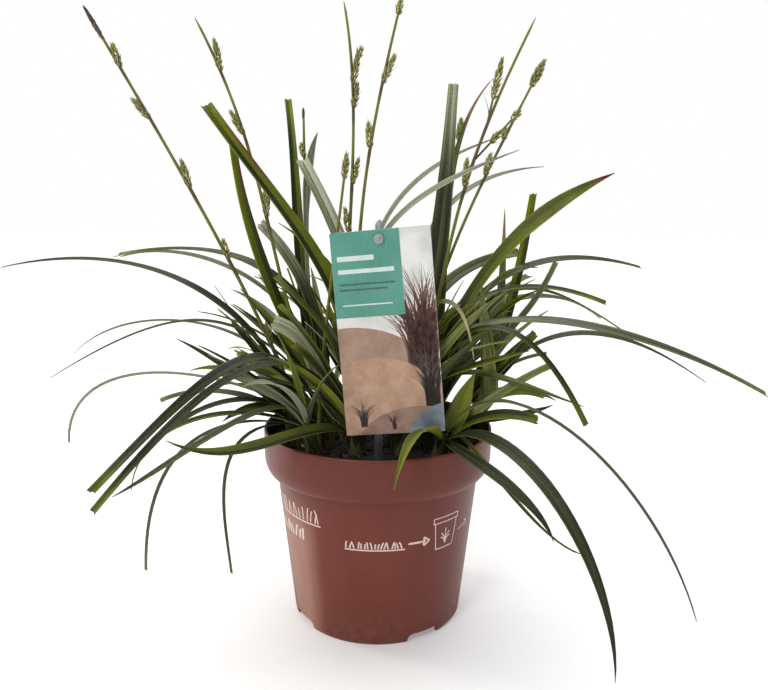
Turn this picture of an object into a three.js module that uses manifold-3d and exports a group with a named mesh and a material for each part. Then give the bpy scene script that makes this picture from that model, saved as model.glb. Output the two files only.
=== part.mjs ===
// Carex sedge in its nursery pot: a clump of leafy shoots and flowering stems in peat, with a label
// card on a stake. Millimetres, +Z up. The origin is the middle of the pot's base, on the surface
// that the pot stands on. The front is towards -Y.

import * as THREE from 'three';
import * as BufferGeometryUtils from 'three/addons/utils/BufferGeometryUtils.js';
import Module from 'manifold-3d';

const wasm = await Module();
wasm.setup();

// ---------------------------------------------------------------- driving dimensions

const GAP = 0.3; // clearance between neighbouring pieces

const POT_HEIGHT = 111.5;
const RIM_RADIUS = 65.5;
const COLLAR_BOTTOM = 87; // the collar's lower edge
const BODY_TOP_RADIUS = 58.5; // the tapered body, just under the collar
const FOOT_RADIUS = 49.3;
const POT_WALL = 1.3;
const FLOOR_UNDERSIDE = 4; // the floor is raised on a ring foot
const FLOOR_TOP = 5.5;
const POT_SIDES = 36;
const NOTCH_COUNT = 4; // arched gaps in the ring foot
const NOTCH_FIRST_ANGLE = 32;
const NOTCH_WIDTH = 20;
const NOTCH_HEIGHT = 4.6;
const DRAIN_COUNT = 6;
const DRAIN_CIRCLE = 34;
const DRAIN_RADIUS = 4;

const SOIL_LEVEL = 101;
const SOIL_SIDES = 24;
const STEM_HOLE_DEPTH = 9;

const SHEATH_RADIUS = 3.4;
const SHEATH_TOP_RADIUS = 2.5;
const SHEATH_HEIGHTS = [17, 22, 14]; // above the soil, one shoot after the other
const LEAF_ROOT_DEPTH = 2.6; // below the sheath's top
const CLUMP_RADIUS = 47;

const CARD_WIDTH = 52;
const CARD_HEIGHT = 106;
const CARD_THICKNESS = 0.8;
const CARD_CORNER = 3.5;
const PEG_RADIUS = 1.6;

// ---------------------------------------------------------------- solids and meshes

const radians = THREE.MathUtils.degToRad;

function signedVolume(positions, triangles) {
  const corner = (index) => new THREE.Vector3().fromArray(positions, 3 * index);
  let sum = 0;
  for (let at = 0; at < triangles.length; at += 3) {
    const [a, b, c] = [0, 1, 2].map((step) => corner(triangles[at + step]));
    sum += a.dot(b.cross(c)) / 6;
  }
  return sum;
}

// A closed three.js geometry as a solid that booleans can join and cut, faces outwards.
function toSolid(geometry) {
  const plain = new THREE.BufferGeometry();
  plain.setAttribute('position', geometry.getAttribute('position').clone());
  if (geometry.index) plain.setIndex(geometry.index.clone());
  const merged = BufferGeometryUtils.mergeVertices(plain, 1e-4);
  const positions = merged.getAttribute('position').array;
  const corners = merged.index.array;
  const triangles = [];
  for (let at = 0; at < corners.length; at += 3) {
    const [a, b, c] = corners.slice(at, at + 3);
    if (a !== b && b !== c && c !== a) triangles.push(a, b, c);
  }
  if (signedVolume(positions, triangles) < 0) triangles.reverse();
  return new wasm.Manifold(new wasm.Mesh({
    numProp: 3,
    vertProperties: new Float32Array(positions),
    triVerts: new Uint32Array(triangles),
  }));
}

function toMesh(name, solid, material) {
  const mesh = solid.getMesh();
  const geometry = new THREE.BufferGeometry();
  geometry.setAttribute('position', new THREE.BufferAttribute(new Float32Array(mesh.vertProperties), 3));
  geometry.setIndex(new THREE.BufferAttribute(new Uint32Array(mesh.triVerts), 1));
  geometry.computeVertexNormals();
  const node = new THREE.Mesh(geometry, material);
  node.name = name;
  return node;
}

// One body from several that meet. A loose scrap that the join cuts off is left out.
function joined(solids) {
  const pieces = wasm.Manifold.union(solids).decompose();
  return pieces.reduce((largest, piece) => (piece.volume() > largest.volume() ? piece : largest));
}

// A body through a row of outlines with the same number of points. An outline of one point closes
// it in a tip. Neighbouring sides are split along mirrored diagonals, so a thin twisted blade is
// split alike on its upper and its lower face.
function loft(outlines) {
  const positions = [];
  const starts = outlines.map((outline) => {
    const start = positions.length / 3;
    outline.forEach((point) => positions.push(point.x, point.y, point.z));
    return start;
  });
  const triangles = [];
  const sides = outlines[0].length;
  for (let row = 0; row + 1 < outlines.length; row += 1) {
    for (let side = 0; side < sides; side += 1) {
      const next = (side + 1) % sides;
      const a = starts[row] + side;
      const b = starts[row] + next;
      if (outlines[row + 1].length === 1) {
        triangles.push(a, b, starts[row + 1]);
        continue;
      }
      const c = starts[row + 1] + next;
      const d = starts[row + 1] + side;
      if (side % 2 === 0) triangles.push(a, b, d, b, c, d);
      else triangles.push(a, b, c, a, c, d);
    }
  }
  const last = outlines.length - 1;
  for (let step = 0; step < sides - 2; step += 1) {
    const fan = [1, (step + 2) % sides, (step + 3) % sides];
    triangles.push(starts[0] + fan[0], starts[0] + fan[2], starts[0] + fan[1]);
    if (outlines[last].length > 1) triangles.push(...fan.map((corner) => starts[last] + corner));
  }
  const geometry = new THREE.BufferGeometry();
  geometry.setAttribute('position', new THREE.Float32BufferAttribute(positions, 3));
  geometry.setIndex(triangles);
  return toSolid(geometry);
}

// A regular outline round a point, square to a direction.
function ringOf(centre, direction, radius, sides) {
  const across = new THREE.Vector3(0, 1, 0).cross(direction).normalize();
  const beside = new THREE.Vector3().crossVectors(direction, across);
  return Array.from({ length: sides }, (_, side) => {
    const angle = (2 * Math.PI * side) / sides;
    return centre.clone()
      .addScaledVector(across, radius * Math.cos(angle))
      .addScaledVector(beside, radius * Math.sin(angle));
  });
}

// Lathe profiles are drawn as (radius, height) and turned about Z.
function turned(profile, sides) {
  const points = profile.map(([radius, height]) => new THREE.Vector2(radius, height));
  return new THREE.LatheGeometry(points, sides).rotateX(Math.PI / 2);
}

// ---------------------------------------------------------------- materials

const paint = (color, roughness) => new THREE.MeshStandardMaterial({ color, roughness, metalness: 0 });

const potPlastic = paint(0x7c443b, 0.42);
const peat = paint(0x1d1611, 0.95);
const leafGreen = paint(0x3d5a2c, 0.5);
const stemGreen = paint(0x76823a, 0.6);
const cardPrint = paint(0x4a9482, 0.45);
const stakePlastic = paint(0x9a9d9c, 0.35);

// ---------------------------------------------------------------- pot and soil

function potSolid() {
  const wallAtFloor = FOOT_RADIUS - 1.1;
  const shell = toSolid(turned([
    [0, FLOOR_UNDERSIDE],
    [46.6, FLOOR_UNDERSIDE],
    [46.9, 0],
    [FOOT_RADIUS - 0.9, 0],
    [FOOT_RADIUS, 1.2],
    [BODY_TOP_RADIUS, COLLAR_BOTTOM - 0.6],
    [61.2, COLLAR_BOTTOM],
    [63.8, COLLAR_BOTTOM + 2],
    [65.2, COLLAR_BOTTOM + 5.5],
    [RIM_RADIUS, COLLAR_BOTTOM + 10],
    [RIM_RADIUS, POT_HEIGHT - 1],
    [RIM_RADIUS - 0.8, POT_HEIGHT],
    [RIM_RADIUS - 1.6, POT_HEIGHT - 0.6],
    [RIM_RADIUS - POT_WALL, COLLAR_BOTTOM + 10],
    [63.8, COLLAR_BOTTOM + 6],
    [62.5, COLLAR_BOTTOM + 3],
    [60.6, COLLAR_BOTTOM + 1.6],
    [BODY_TOP_RADIUS - POT_WALL, COLLAR_BOTTOM + 1],
    [wallAtFloor, FLOOR_TOP],
    [0, FLOOR_TOP],
  ], POT_SIDES));
  const cuts = [];
  for (let notch = 0; notch < NOTCH_COUNT; notch += 1) {
    const angle = radians(NOTCH_FIRST_ANGLE + (360 * notch) / NOTCH_COUNT);
    const arch = new THREE.Shape();
    const half = NOTCH_WIDTH / 2;
    arch.moveTo(-half, -1).lineTo(-half + 1, NOTCH_HEIGHT - 1.6).lineTo(-half + 3, NOTCH_HEIGHT);
    arch.lineTo(half - 3, NOTCH_HEIGHT).lineTo(half - 1, NOTCH_HEIGHT - 1.6).lineTo(half, -1);
    const cutter = new THREE.ExtrudeGeometry(arch, { depth: 12, bevelEnabled: false });
    cutter.rotateX(Math.PI / 2).translate(0, -FOOT_RADIUS + 6, 0).rotateZ(angle + Math.PI / 2);
    cuts.push(toSolid(cutter));
  }
  for (let drain = 0; drain < DRAIN_COUNT; drain += 1) {
    const angle = (2 * Math.PI * drain) / DRAIN_COUNT;
    const cutter = new THREE.CylinderGeometry(DRAIN_RADIUS, DRAIN_RADIUS, 6, 8).rotateX(Math.PI / 2);
    cutter.translate(DRAIN_CIRCLE * Math.cos(angle), DRAIN_CIRCLE * Math.sin(angle), FLOOR_TOP);
    cuts.push(toSolid(cutter));
  }
  return shell.subtract(wasm.Manifold.union(cuts));
}

// The peat's surface is uneven by a millimetre or so, and a little higher in the middle.
function soilHeight(x, y) {
  const radius = Math.hypot(x, y);
  const lumps = 0.7 * Math.sin(0.23 * x + 1) * Math.cos(0.19 * y) + 0.4 * Math.sin(0.41 * y + 0.3 * x);
  return SOIL_LEVEL + lumps + 1.2 * (1 - radius / RIM_RADIUS);
}

function soilSolid(holes) {
  const bodyRadius = BODY_TOP_RADIUS - POT_WALL - 0.4;
  const geometry = turned([
    [0, FLOOR_TOP + GAP],
    [FOOT_RADIUS - 1.5, FLOOR_TOP + GAP],
    [bodyRadius, COLLAR_BOTTOM + 1.3],
    [60.2, COLLAR_BOTTOM + 2.1],
    [62.2, COLLAR_BOTTOM + 3.6],
    [63.5, COLLAR_BOTTOM + 6.6],
    [63.8, COLLAR_BOTTOM + 10],
    [63.4, SOIL_LEVEL],
    [52, SOIL_LEVEL],
    [39, SOIL_LEVEL],
    [24, SOIL_LEVEL],
    [0, SOIL_LEVEL],
  ], SOIL_SIDES);
  const position = geometry.getAttribute('position');
  for (let at = 0; at < position.count; at += 1) {
    const [x, y, z] = [position.getX(at), position.getY(at), position.getZ(at)];
    if (z > SOIL_LEVEL - 0.01 && Math.hypot(x, y) < 60) position.setZ(at, soilHeight(x, y));
  }
  return toSolid(geometry).subtract(wasm.Manifold.union(holes));
}

// ---------------------------------------------------------------- label

// The label's frame has its origin at the peg: x runs to the right, z up, and -y faces the reader.
const labelPose = new THREE.Matrix4().makeTranslation(0.5, -34.5, 219)
  .multiply(new THREE.Matrix4().makeRotationX(radians(-4)))
  .multiply(new THREE.Matrix4().makeRotationZ(radians(-7)));
const cardTilt = radians(-5); // the card hangs askew on its peg
const PEG_FROM_LEFT = 25.5;
const PEG_FROM_TOP = 5;
const STAKE_WIDTH = 4.4;
const STAKE_THICKNESS = 1.6;
const STAKE_TOP = 10;
const STAKE_BOTTOM = -134;

function cardSolid() {
  const left = -PEG_FROM_LEFT;
  const right = left + CARD_WIDTH;
  const top = PEG_FROM_TOP;
  const bottom = top - CARD_HEIGHT;
  const r = CARD_CORNER;
  const outline = new THREE.Shape();
  outline.moveTo(left + r, bottom).lineTo(right - r, bottom);
  outline.absarc(right - r, bottom + r, r, -Math.PI / 2, 0);
  outline.absarc(right - r, top - r, r, 0, Math.PI / 2);
  outline.absarc(left + r, top - r, r, Math.PI / 2, Math.PI);
  outline.absarc(left + r, bottom + r, r, Math.PI, 1.5 * Math.PI);
  outline.holes.push(new THREE.Path().absarc(0, 0, PEG_RADIUS + GAP, 0, 2 * Math.PI, true));
  const card = new THREE.ExtrudeGeometry(outline, {
    depth: CARD_THICKNESS, bevelEnabled: false, curveSegments: 4,
  });
  card.translate(0, 0, -CARD_THICKNESS / 2).rotateX(Math.PI / 2).rotateY(cardTilt);
  return toSolid(card.applyMatrix4(labelPose));
}

function stakeSolid() {
  const half = STAKE_WIDTH / 2;
  const front = CARD_THICKNESS / 2 + GAP;
  const blade = new THREE.Shape();
  blade.moveTo(-half, STAKE_TOP - 3).lineTo(-half, STAKE_BOTTOM + 8).lineTo(0, STAKE_BOTTOM);
  blade.lineTo(half, STAKE_BOTTOM + 8).lineTo(half, STAKE_TOP - 3).lineTo(0.8, STAKE_TOP);
  blade.lineTo(-0.8, STAKE_TOP);
  const stem = new THREE.ExtrudeGeometry(blade, { depth: STAKE_THICKNESS, bevelEnabled: false });
  stem.rotateX(Math.PI / 2).translate(0, front + STAKE_THICKNESS, 0);
  const headRadius = PEG_RADIUS + 1;
  const headDepth = 0.45 * headRadius;
  const pegLength = 2 * front + 1 + headDepth;
  const peg = new THREE.CylinderGeometry(PEG_RADIUS, PEG_RADIUS, pegLength, 12);
  peg.translate(0, front + 1 - pegLength / 2, 0);
  const head = new THREE.SphereGeometry(headRadius, 12, 6).scale(1, 0.45, 1);
  head.translate(0, -front - headDepth, 0);
  const solid = joined([toSolid(stem), toSolid(peg), toSolid(head)]);
  return solid.transform(labelPose.toArray());
}

function stakeHole() {
  const width = STAKE_WIDTH + 2 * GAP;
  const thickness = STAKE_THICKNESS + 2 * GAP;
  const middle = CARD_THICKNESS / 2 + GAP + STAKE_THICKNESS / 2;
  const length = 40;
  const slot = new THREE.BoxGeometry(width, thickness, length);
  slot.translate(0, middle, STAKE_BOTTOM - GAP + length / 2);
  return toSolid(slot.applyMatrix4(labelPose));
}

// ---------------------------------------------------------------- shoots

// The shoots stand in rings, leaning outwards more the further out they stand. The outer ring
// leaves out the two places at the front, where the soil is bare.
const SHOOT_RINGS = [
  { ring: 'inner', radius: 13, places: 4, firstAngle: 45, bare: [], leaves: 9 },
  { ring: 'middle', radius: 30, places: 8, firstAngle: 22.5, bare: [], leaves: 9 },
  { ring: 'outer', radius: CLUMP_RADIUS, places: 12, firstAngle: 15, bare: [8, 9], leaves: 8 },
];

function makeShoots() {
  const shoots = [];
  SHOOT_RINGS.forEach(({ ring, radius, places, firstAngle, bare, leaves }) => {
    let number = 0;
    for (let place = 0; place < places; place += 1) {
      if (bare.includes(place)) continue;
      number += 1;
      const azimuth = radians(firstAngle + (360 * place) / places);
      const lean = radians(4 + (12 * radius) / CLUMP_RADIUS);
      const out = new THREE.Vector3(Math.cos(azimuth), Math.sin(azimuth), 0);
      const foot = out.clone().multiplyScalar(radius).setZ(SOIL_LEVEL);
      const axis = out.clone().multiplyScalar(Math.sin(lean)).setZ(Math.cos(lean));
      const height = SHEATH_HEIGHTS[shoots.length % SHEATH_HEIGHTS.length];
      shoots.push({ name: `shoot_${ring}_${number}`, ring, azimuth, foot, axis, height, leaves });
    }
  });
  return shoots;
}

const along = (shoot, height) => shoot.foot.clone().addScaledVector(shoot.axis, height);

// A leaf's root is just inside the top of its sheath, on the side that the leaf heads for.
function leafRoot(shoot, heading) {
  const side = new THREE.Vector3(Math.cos(heading), Math.sin(heading), 0);
  return along(shoot, shoot.height - LEAF_ROOT_DEPTH).addScaledVector(side, 0.4 * SHEATH_TOP_RADIUS);
}

function sheathSolid(shoot) {
  return loft([
    ringOf(along(shoot, -STEM_HOLE_DEPTH), shoot.axis, SHEATH_RADIUS, 6),
    ringOf(along(shoot, 2), shoot.axis, SHEATH_RADIUS, 6),
    ringOf(along(shoot, shoot.height), shoot.axis, SHEATH_TOP_RADIUS, 6),
  ]);
}

function sheathHole(shoot) {
  const radius = SHEATH_RADIUS + 1.2 * GAP;
  return loft([
    ringOf(along(shoot, -STEM_HOLE_DEPTH - GAP), shoot.axis, radius, 6),
    ringOf(along(shoot, 6), shoot.axis, radius, 6),
  ]);
}

// ---------------------------------------------------------------- leaves

// A leaf is an arch in a plane: it leaves its sheath leaning by `lean` degrees from upright and
// comes to its tip at `fall` degrees from upright, so 90 is level and over 90 hangs. `crook` makes
// the bend sharper than a circle's, and `bow` swings the middle sideways.
function archCurve(root, tip, { lean, fall, crook = 1, bow = 0 }) {
  const chord = tip.clone().sub(root);
  const heading = Math.atan2(chord.y, chord.x);
  const direction = (angle, side) => new THREE.Vector3(
    Math.sin(radians(angle)) * Math.cos(heading + radians(side)),
    Math.sin(radians(angle)) * Math.sin(heading + radians(side)),
    Math.cos(radians(angle)),
  );
  const bend = Math.max(radians(Math.abs(fall - lean)), 0.001);
  const handle = (crook * chord.length() * (4 / 3) * Math.tan(bend / 4)) / (2 * Math.sin(bend / 2));
  const second = root.clone().addScaledVector(direction(lean, bow), handle);
  const third = tip.clone().addScaledVector(direction(fall, -bow), -handle);
  return new THREE.CubicBezierCurve3(root, second, third, tip);
}

const smooth = (x) => {
  const t = Math.min(Math.max(x, 0), 1);
  return t * t * (3 - 2 * t);
};

// Width along the leaf, as a share of its full width: narrow in the sheath, then parallel. A point
// tapers over the outer half of the leaf, a blunt point only near its tip. Where the tip has been
// cut off, the leaf is a little narrower there, or half as wide if it is a narrow one.
function widthShare(t, end) {
  const base = 0.25 + 0.75 * smooth(0.1 + t / 0.25);
  if (end === 'cut') return base * (1 - 0.32 * smooth((t - 0.4) / 0.6));
  if (end === 'narrow') return base * (1 - 0.5 * smooth((t - 0.4) / 0.6));
  if (end === 'blunt') return base * (1 - Math.max(0, (t - 0.75) / 0.25) ** 1.5);
  return base * (1 - Math.max(0, (t - 0.4) / 0.6) ** 1.7);
}

// Four corners a row: left edge, keel, right edge and groove. `turn` rolls the leaf about its own
// length, most of it towards the tip. A margin makes it larger all round, for clearance tests.
function leafOutlines(leaf, margin) {
  const { root, tip, width, end, turn } = leaf;
  const curve = archCurve(root, tip, leaf);
  const heading = Math.atan2(tip.y - root.y, tip.x - root.x);
  const level = new THREE.Vector3(-Math.sin(heading), Math.cos(heading), 0);
  const bend = Math.abs(leaf.fall - leaf.lean);
  const rows = THREE.MathUtils.clamp(Math.round(root.distanceTo(tip) / 45 + bend / 36), 3, 8);
  const outlines = [];
  for (let row = 0; row <= rows; row += 1) {
    const t = row / rows;
    const centre = curve.getPoint(t);
    if (row === rows && (end === 'point' || end === 'blunt')) {
      outlines.push([centre]);
      break;
    }
    const tangent = curve.getTangent(t);
    const flat = level.clone().addScaledVector(tangent, -level.dot(tangent)).normalize();
    const upper = new THREE.Vector3().crossVectors(tangent, flat);
    const roll = radians(turn * (0.35 + 0.65 * t));
    const across = flat.clone().multiplyScalar(Math.cos(roll)).addScaledVector(upper, Math.sin(roll));
    const normal = upper.clone().multiplyScalar(Math.cos(roll)).addScaledVector(flat, -Math.sin(roll));
    const full = width * widthShare(t, end);
    const half = Math.max(0.45, full / 2) + margin;
    const lift = (full / 2) * Math.tan(radians(28 - 14 * smooth(t / 0.5)));
    const thick = Math.max(0.8, 0.1 * width) / 2 + margin;
    const corner = (side, up) => centre.clone().addScaledVector(across, side).addScaledVector(normal, up);
    outlines.push([corner(-half, lift), corner(0, -thick), corner(half, lift), corner(0, thick)]);
  }
  return outlines;
}

// The leaves that give the clump its outline, each at its own place:
// shoot, tip (x, y, z), lean, fall, crook, width, end, turn and, if it has one, bow.
const MAIN_LEAVES = [
  // right side, front to back
  ['outer_9', [103, -130, 36], 54, 178, 0.95, 6.5, 'point', 50, -3],
  ['outer_9', [80, -104, 88], 80, 160, 0.7, 6, 'point', 45, -24],
  ['outer_9', [101, -76, 68], 0, 93, 0.85, 2.5, 'point', 30, -2],
  ['outer_9', [52, -34, 150], 29, 32, 1.05, 11, 'point', 110, 1],
  ['middle_8', [160, -78, 33], 39, 162, 1, 2, 'blunt', 30, -7],
  ['inner_4', [200, -46, 141], 10, 119, 1.1, 8.5, 'cut', 18, -18],
  ['inner_4', [104, -60, 129], 26, 153, 1.6, 4.5, 'cut', 35, -9],
  ['inner_4', [49, -46, 159], 0, 170, 1.45, 3.5, 'point', 60, 3],
  ['outer_10', [181, -18, 141], 24, 124, 1.3, 5.5, 'blunt', 15, 1],
  ['outer_10', [94, -30, 131], 70, 60, 1, 6, 'point', 40],
  ['outer_10', [56, -16, 196], 49, 0, 1.05, 9, 'point', 115],
  ['outer_10', [58, -20, 174], 50, 0, 1.6, 11, 'point', 115, 6],
  ['outer_10', [94, -22, 207], 0, 21, 1.4, 4.5, 'cut', 60, 7],
  ['middle_8', [122, -22, 253], 0, 66, 1, 9.5, 'blunt', 60, 11],
  ['middle_8', [105, -50, 136], 0, 103, 1.4, 6, 'point', 30],
  ['inner_4', [77, -46, 164], 18, 70, 0.9, 8, 'point', 35, -9],
  ['inner_1', [41, 16, 302], 24, 4, 0.95, 12, 'narrow', 95, -2],
  ['inner_1', [133, 16, 180], 20, 112, 1.25, 6.5, 'cut', 25, 4],
  ['middle_1', [164, 51, 198], 8, 105, 1.2, 7, 'cut', 22, -1],
  ['middle_1', [154, 34, 158], 19, 123, 1.6, 5, 'cut', 20, -3],
  ['middle_1', [87, -10, 203], 35, 95, 1, 8, 'point', 30],
  ['outer_1', [93, 42, 243], 45, 10, 1, 6.5, 'cut', 70],
  ['outer_1', [75, 34, 234], 45, 0, 1, 6, 'point', 60, -10],
  ['outer_2', [152, 90, 160], 5, 125, 1, 7, 'cut', 20],
  ['inner_1', [91, 66, 206], 10, 85, 1.2, 10, 'cut', 35, 10],
  // back
  ['middle_3', [78, 60, 279], 0, 73, 1.35, 3.5, 'blunt', 35, -2],
  ['outer_3', [34, 131, 84], 25, 145, 1.1, 8, 'cut', 10],
  ['outer_4', [-36, 130, 92], 20, 140, 1.2, 9, 'point', -10],
  ['middle_2', [58, 114, 150], 15, 115, 1.1, 8, 'cut', 15],
  ['middle_3', [-50, 116, 158], 15, 110, 1.1, 8, 'point', -15],
  // left side, back to front
  ['outer_6', [-36, 30, 277], 34, 29, 0.7, 12, 'blunt', -80, 1],
  ['outer_5', [-55, 50, 298], 16, 8, 1, 7, 'cut', -80],
  ['inner_2', [-44, 20, 261], 0, 29, 1.4, 10, 'cut', -60, -3],
  ['outer_5', [-168, 70, 202], 0, 105, 0.95, 5.5, 'cut', -15],
  ['middle_4', [-164, 50, 204], 0, 100, 1.35, 8, 'cut', -18, 15],
  ['middle_4', [-69, 20, 225], 5, 50, 1.1, 9, 'cut', -50],
  ['middle_4', [-80, 4, 268], 25, 5, 1, 8.5, 'narrow', -75],
  ['outer_6', [-192, 40, 143], 0, 133, 0.85, 4, 'blunt', -10, 7],
  ['outer_6', [-204, -14, 202], 16, 103, 1.1, 7, 'point', -25, 2],
  ['inner_3', [-90, -12, 287], 0, 35, 1.3, 8.4, 'cut', -75, -4],
  ['inner_3', [-56, 4, 226], 17, 60, 1.55, 7, 'point', -50, -4],
  ['inner_3', [-78, -14, 156], 5, 40, 1, 8, 'point', -40],
  ['middle_6', [-55, -18, 198], 5, 50, 1.4, 4, 'cut', -40],
  ['middle_5', [-133, -88, 104], 19, 131, 1.5, 7, 'cut', -30, 3],
  ['middle_5', [-105, -34, 167], 65, 60, 1, 7, 'point', -35],
  ['middle_4', [-180, -20, 142], 36, 121, 1.4, 4, 'blunt', -8, 4],
  ['middle_5', [-147, -46, 80], 52, 141, 1.25, 5, 'cut', -28, -4],
  ['outer_7', [-92, -12, 144], 0, 77, 1.45, 6.5, 'cut', -35, -2],
  ['middle_5', [-155, -58, 118], 47, 178, 0.9, 2.6, 'cut', -25, 7],
  ['outer_7', [-119, -22, 130], 36, 114, 0.9, 5, 'cut', -25, -1],
  ['outer_8', [-125, -84, 100], 15, 110, 0.9, 4, 'blunt', -25],
  ['outer_7', [-116, -70, 55], 70, 178, 1.4, 2.2, 'cut', -30, 10],
  ['outer_8', [-124, -62, 94], 60, 172, 1, 4, 'point', -20],
  ['outer_7', [-67, -96, 68], 75, 97, 1.85, 1.8, 'cut', -40, -28],
  ['middle_6', [-55, -31, 175], 55, 75, 1.2, 12, 'cut', -55],
  // front
  ['outer_9', [8, -86, 105], 50, 150, 1.3, 8, 'point', 25],
  ['middle_6', [-132, -90, 95], 23, 137, 1.4, 6, 'cut', -30, -2],
  ['middle_6', [-94, -96, 132], 64, 54, 1.15, 7, 'point', -50, 5],
  // later growth
  ['middle_2', [107, 80, 261], 0, 86, 1.25, 4, 'blunt', 35, 5],
  ['middle_6', [74, -12, 265], 0, 70, 1.5, 4.5, 'blunt', 35, -2],
  ['middle_1', [69, 58, 312], 14, 56, 1.15, 4.5, 'point', 60],
];

// A small seeded generator, so that each leaf's draws are its own.
function drawsFrom(seed) {
  let state = seed >>> 0;
  return () => {
    state = (state + 0x6d2b79f5) >>> 0;
    let mixed = Math.imul(state ^ (state >>> 15), state | 1);
    mixed ^= mixed + Math.imul(mixed ^ (mixed >>> 7), mixed | 61);
    return ((mixed ^ (mixed >>> 14)) >>> 0) / 4294967296;
  };
}

// The other leaves follow a rule: the inner shoots' stand up, the outer ones' arch over, and those
// that head to the left, to the right or to the front are shorter.
const FILL_RULE = {
  inner: { spread: 120, length: [95, 150], lean: [3, 18], fall: [10, 60] },
  middle: { spread: 80, length: [85, 150], lean: [6, 28], fall: [20, 90] },
  outer: { spread: 60, length: [70, 140], lean: [14, 44], fall: [35, 135] },
};

// How far the other leaves may reach from the pot's axis, and how high.
const FILL_REACH = { side: 112, front: 96, back: 126, height: 205 };
function isInReach(tip) {
  const isBetween = tip.y > -FILL_REACH.front && tip.y < FILL_REACH.back;
  return Math.abs(tip.x) < FILL_REACH.side && isBetween && tip.z < FILL_REACH.height;
}

function fillLeaf(shoot, seed) {
  const draw = drawsFrom(seed);
  const between = ([low, high]) => low + (high - low) * draw();
  const rule = FILL_RULE[shoot.ring];
  const drawn = shoot.azimuth + radians(rule.spread * (2 * draw() - 1));
  const frontShare = Math.sin(drawn) < 0 ? 0.3 : 1;
  const heading = Math.atan2(frontShare * Math.sin(drawn), Math.cos(drawn));
  const lean = between(rule.lean);
  const fall = between(rule.fall);
  const sideways = Math.abs(Math.cos(heading));
  const frontward = Math.max(0, -Math.sin(heading));
  const length = between(rule.length) * (1 - 0.3 * sideways ** 2 - 0.4 * frontward);
  const bend = radians(fall - lean);
  const chord = (length * Math.sin(bend / 2)) / (bend / 2);
  const middle = radians((lean + fall) / 2);
  const root = leafRoot(shoot, heading);
  const reach = new THREE.Vector3(Math.cos(heading), Math.sin(heading), 0);
  const tip = root.clone().addScaledVector(reach, chord * Math.sin(middle));
  tip.z += chord * Math.cos(middle);
  const width = 3.2 + 4.8 * draw();
  const turn = 70 * (2 * draw() - 1);
  const end = draw() < 0.3 ? 'cut' : 'point';
  return { root, tip, lean, fall, width, turn, end, crook: 1, bow: 0 };
}

// A leaf that would touch a neighbour is bent clear of it: it bows to one side and then the other,
// further each time, and its lean is changed a little as well.
function bentLeaf(leaf, attempt) {
  if (attempt === 0) return leaf;
  const side = attempt % 2 === 1 ? 1 : -1;
  const bow = leaf.bow + side * 5 * Math.ceil(attempt / 2);
  const lean = Math.max(0, leaf.lean + 5 * ((attempt % 3) - 1));
  return { ...leaf, bow, lean };
}

// ---------------------------------------------------------------- flowering stems

const STEM_SIDES = 3; // a sedge's stem has three edges
const SPIKE_SIDES = 6;

// name, distance and angle of its foot, tip (x, y, z), lean, fall, crook, and its spikes: where on
// the stem (0 to 1), length, the side that the spike stands on in degrees and, for one that stands
// off on a thin stalk, the stalk's length and how far it spreads from the stem.
const CULMS = [
  ['culm_1', 38.5, 180, [-150, -10, 333], 20, 29, 1.05,
    [[0.23, 13, 0], [0.44, 11, 30], [0.61, 16, 0], [0.77, 13, 180], [0.88, 12, 0]], 'dark'],
  ['culm_2', 21.5, 180, [-99, 8, 334], 28, 28, 1.2,
    [[0.55, 20, 0], [0.75, 14, 180], [0.89, 17, 0]], 'bare'],
  ['culm_3', 38.5, 150, [-45, 40, 290], 20, 0, 1, [[0.72, 12, 0], [0.86, 8, 200]], 'small'],
  ['culm_4', 21.5, 135, [-19, 6, 342], 23, 25, 1,
    [[0.49, 15, 180], [0.6, 15, 0], [0.77, 14, 30], [0.82, 17, 0], [0.84, 5, 0, 10, 0.4]], 'bare'],
  ['culm_5', 21.5, 225, [11, -4, 339], 3, 15, 1.4, [[0.72, 13, 180], [0.86, 16, 0]], 'short'],
  ['culm_6', 38.5, 210, [-17, -14, 261], 2, 7, 1.2, [], 'slim'],
  ['culm_7', 21.5, 315, [82, 0, 333], 14, 27, 1.4,
    [[0.63, 15, 180], [0.7, 7, 0, 13, 0.45], [0.7, 6, 0, 29, 0.45], [0.79, 22, 180, 13, 0.16]], 'bare'],
  ['culm_8', 21.5, 45, [92, 24, 315], 10, 27, 1.3, [[0.72, 13, 180], [0.82, 6, 180]], 'green'],
  ['culm_9', 38.5, 30, [48, 38, 285], 0, 14, 1, [], 'slim'],
];

// The spike at a stem's tip: its length and its greatest radius. A bare tip has none.
const TIP_SPIKES = {
  dark: [18, 1.4], green: [16, 2.6], short: [7, 2], small: [7, 1.1], slim: [13, 1.9], bare: null,
};
const STALK_RADIUS = 0.5;

function stemRadius(t) {
  return 1.15 - 0.5 * t;
}

// A spike's surface is raised in staggered points, the beaked fruits that stand out of its core.
function spikeSolid(foot, direction, length, radius) {
  const rows = Math.max(3, Math.round(length / 3.5));
  const outlines = [ringOf(foot, direction, 0.35, SPIKE_SIDES)];
  for (let row = 1; row < rows; row += 1) {
    const share = row / rows;
    const swell = Math.sin(Math.PI * (0.16 + 0.76 * share));
    const core = ringOf(foot.clone().addScaledVector(direction, length * share), direction, 1, SPIKE_SIDES);
    const centre = foot.clone().addScaledVector(direction, length * share);
    outlines.push(core.map((point, side) => {
      const fruit = (side + row) % 2 === 0;
      const reach = radius * swell * (fruit ? 1 : 0.5);
      const raised = centre.clone().addScaledVector(point.clone().sub(centre), reach);
      return raised.addScaledVector(direction, fruit ? 0.7 : -0.3);
    }));
  }
  outlines.push([foot.clone().addScaledVector(direction, length)]);
  return loft(outlines);
}

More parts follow.
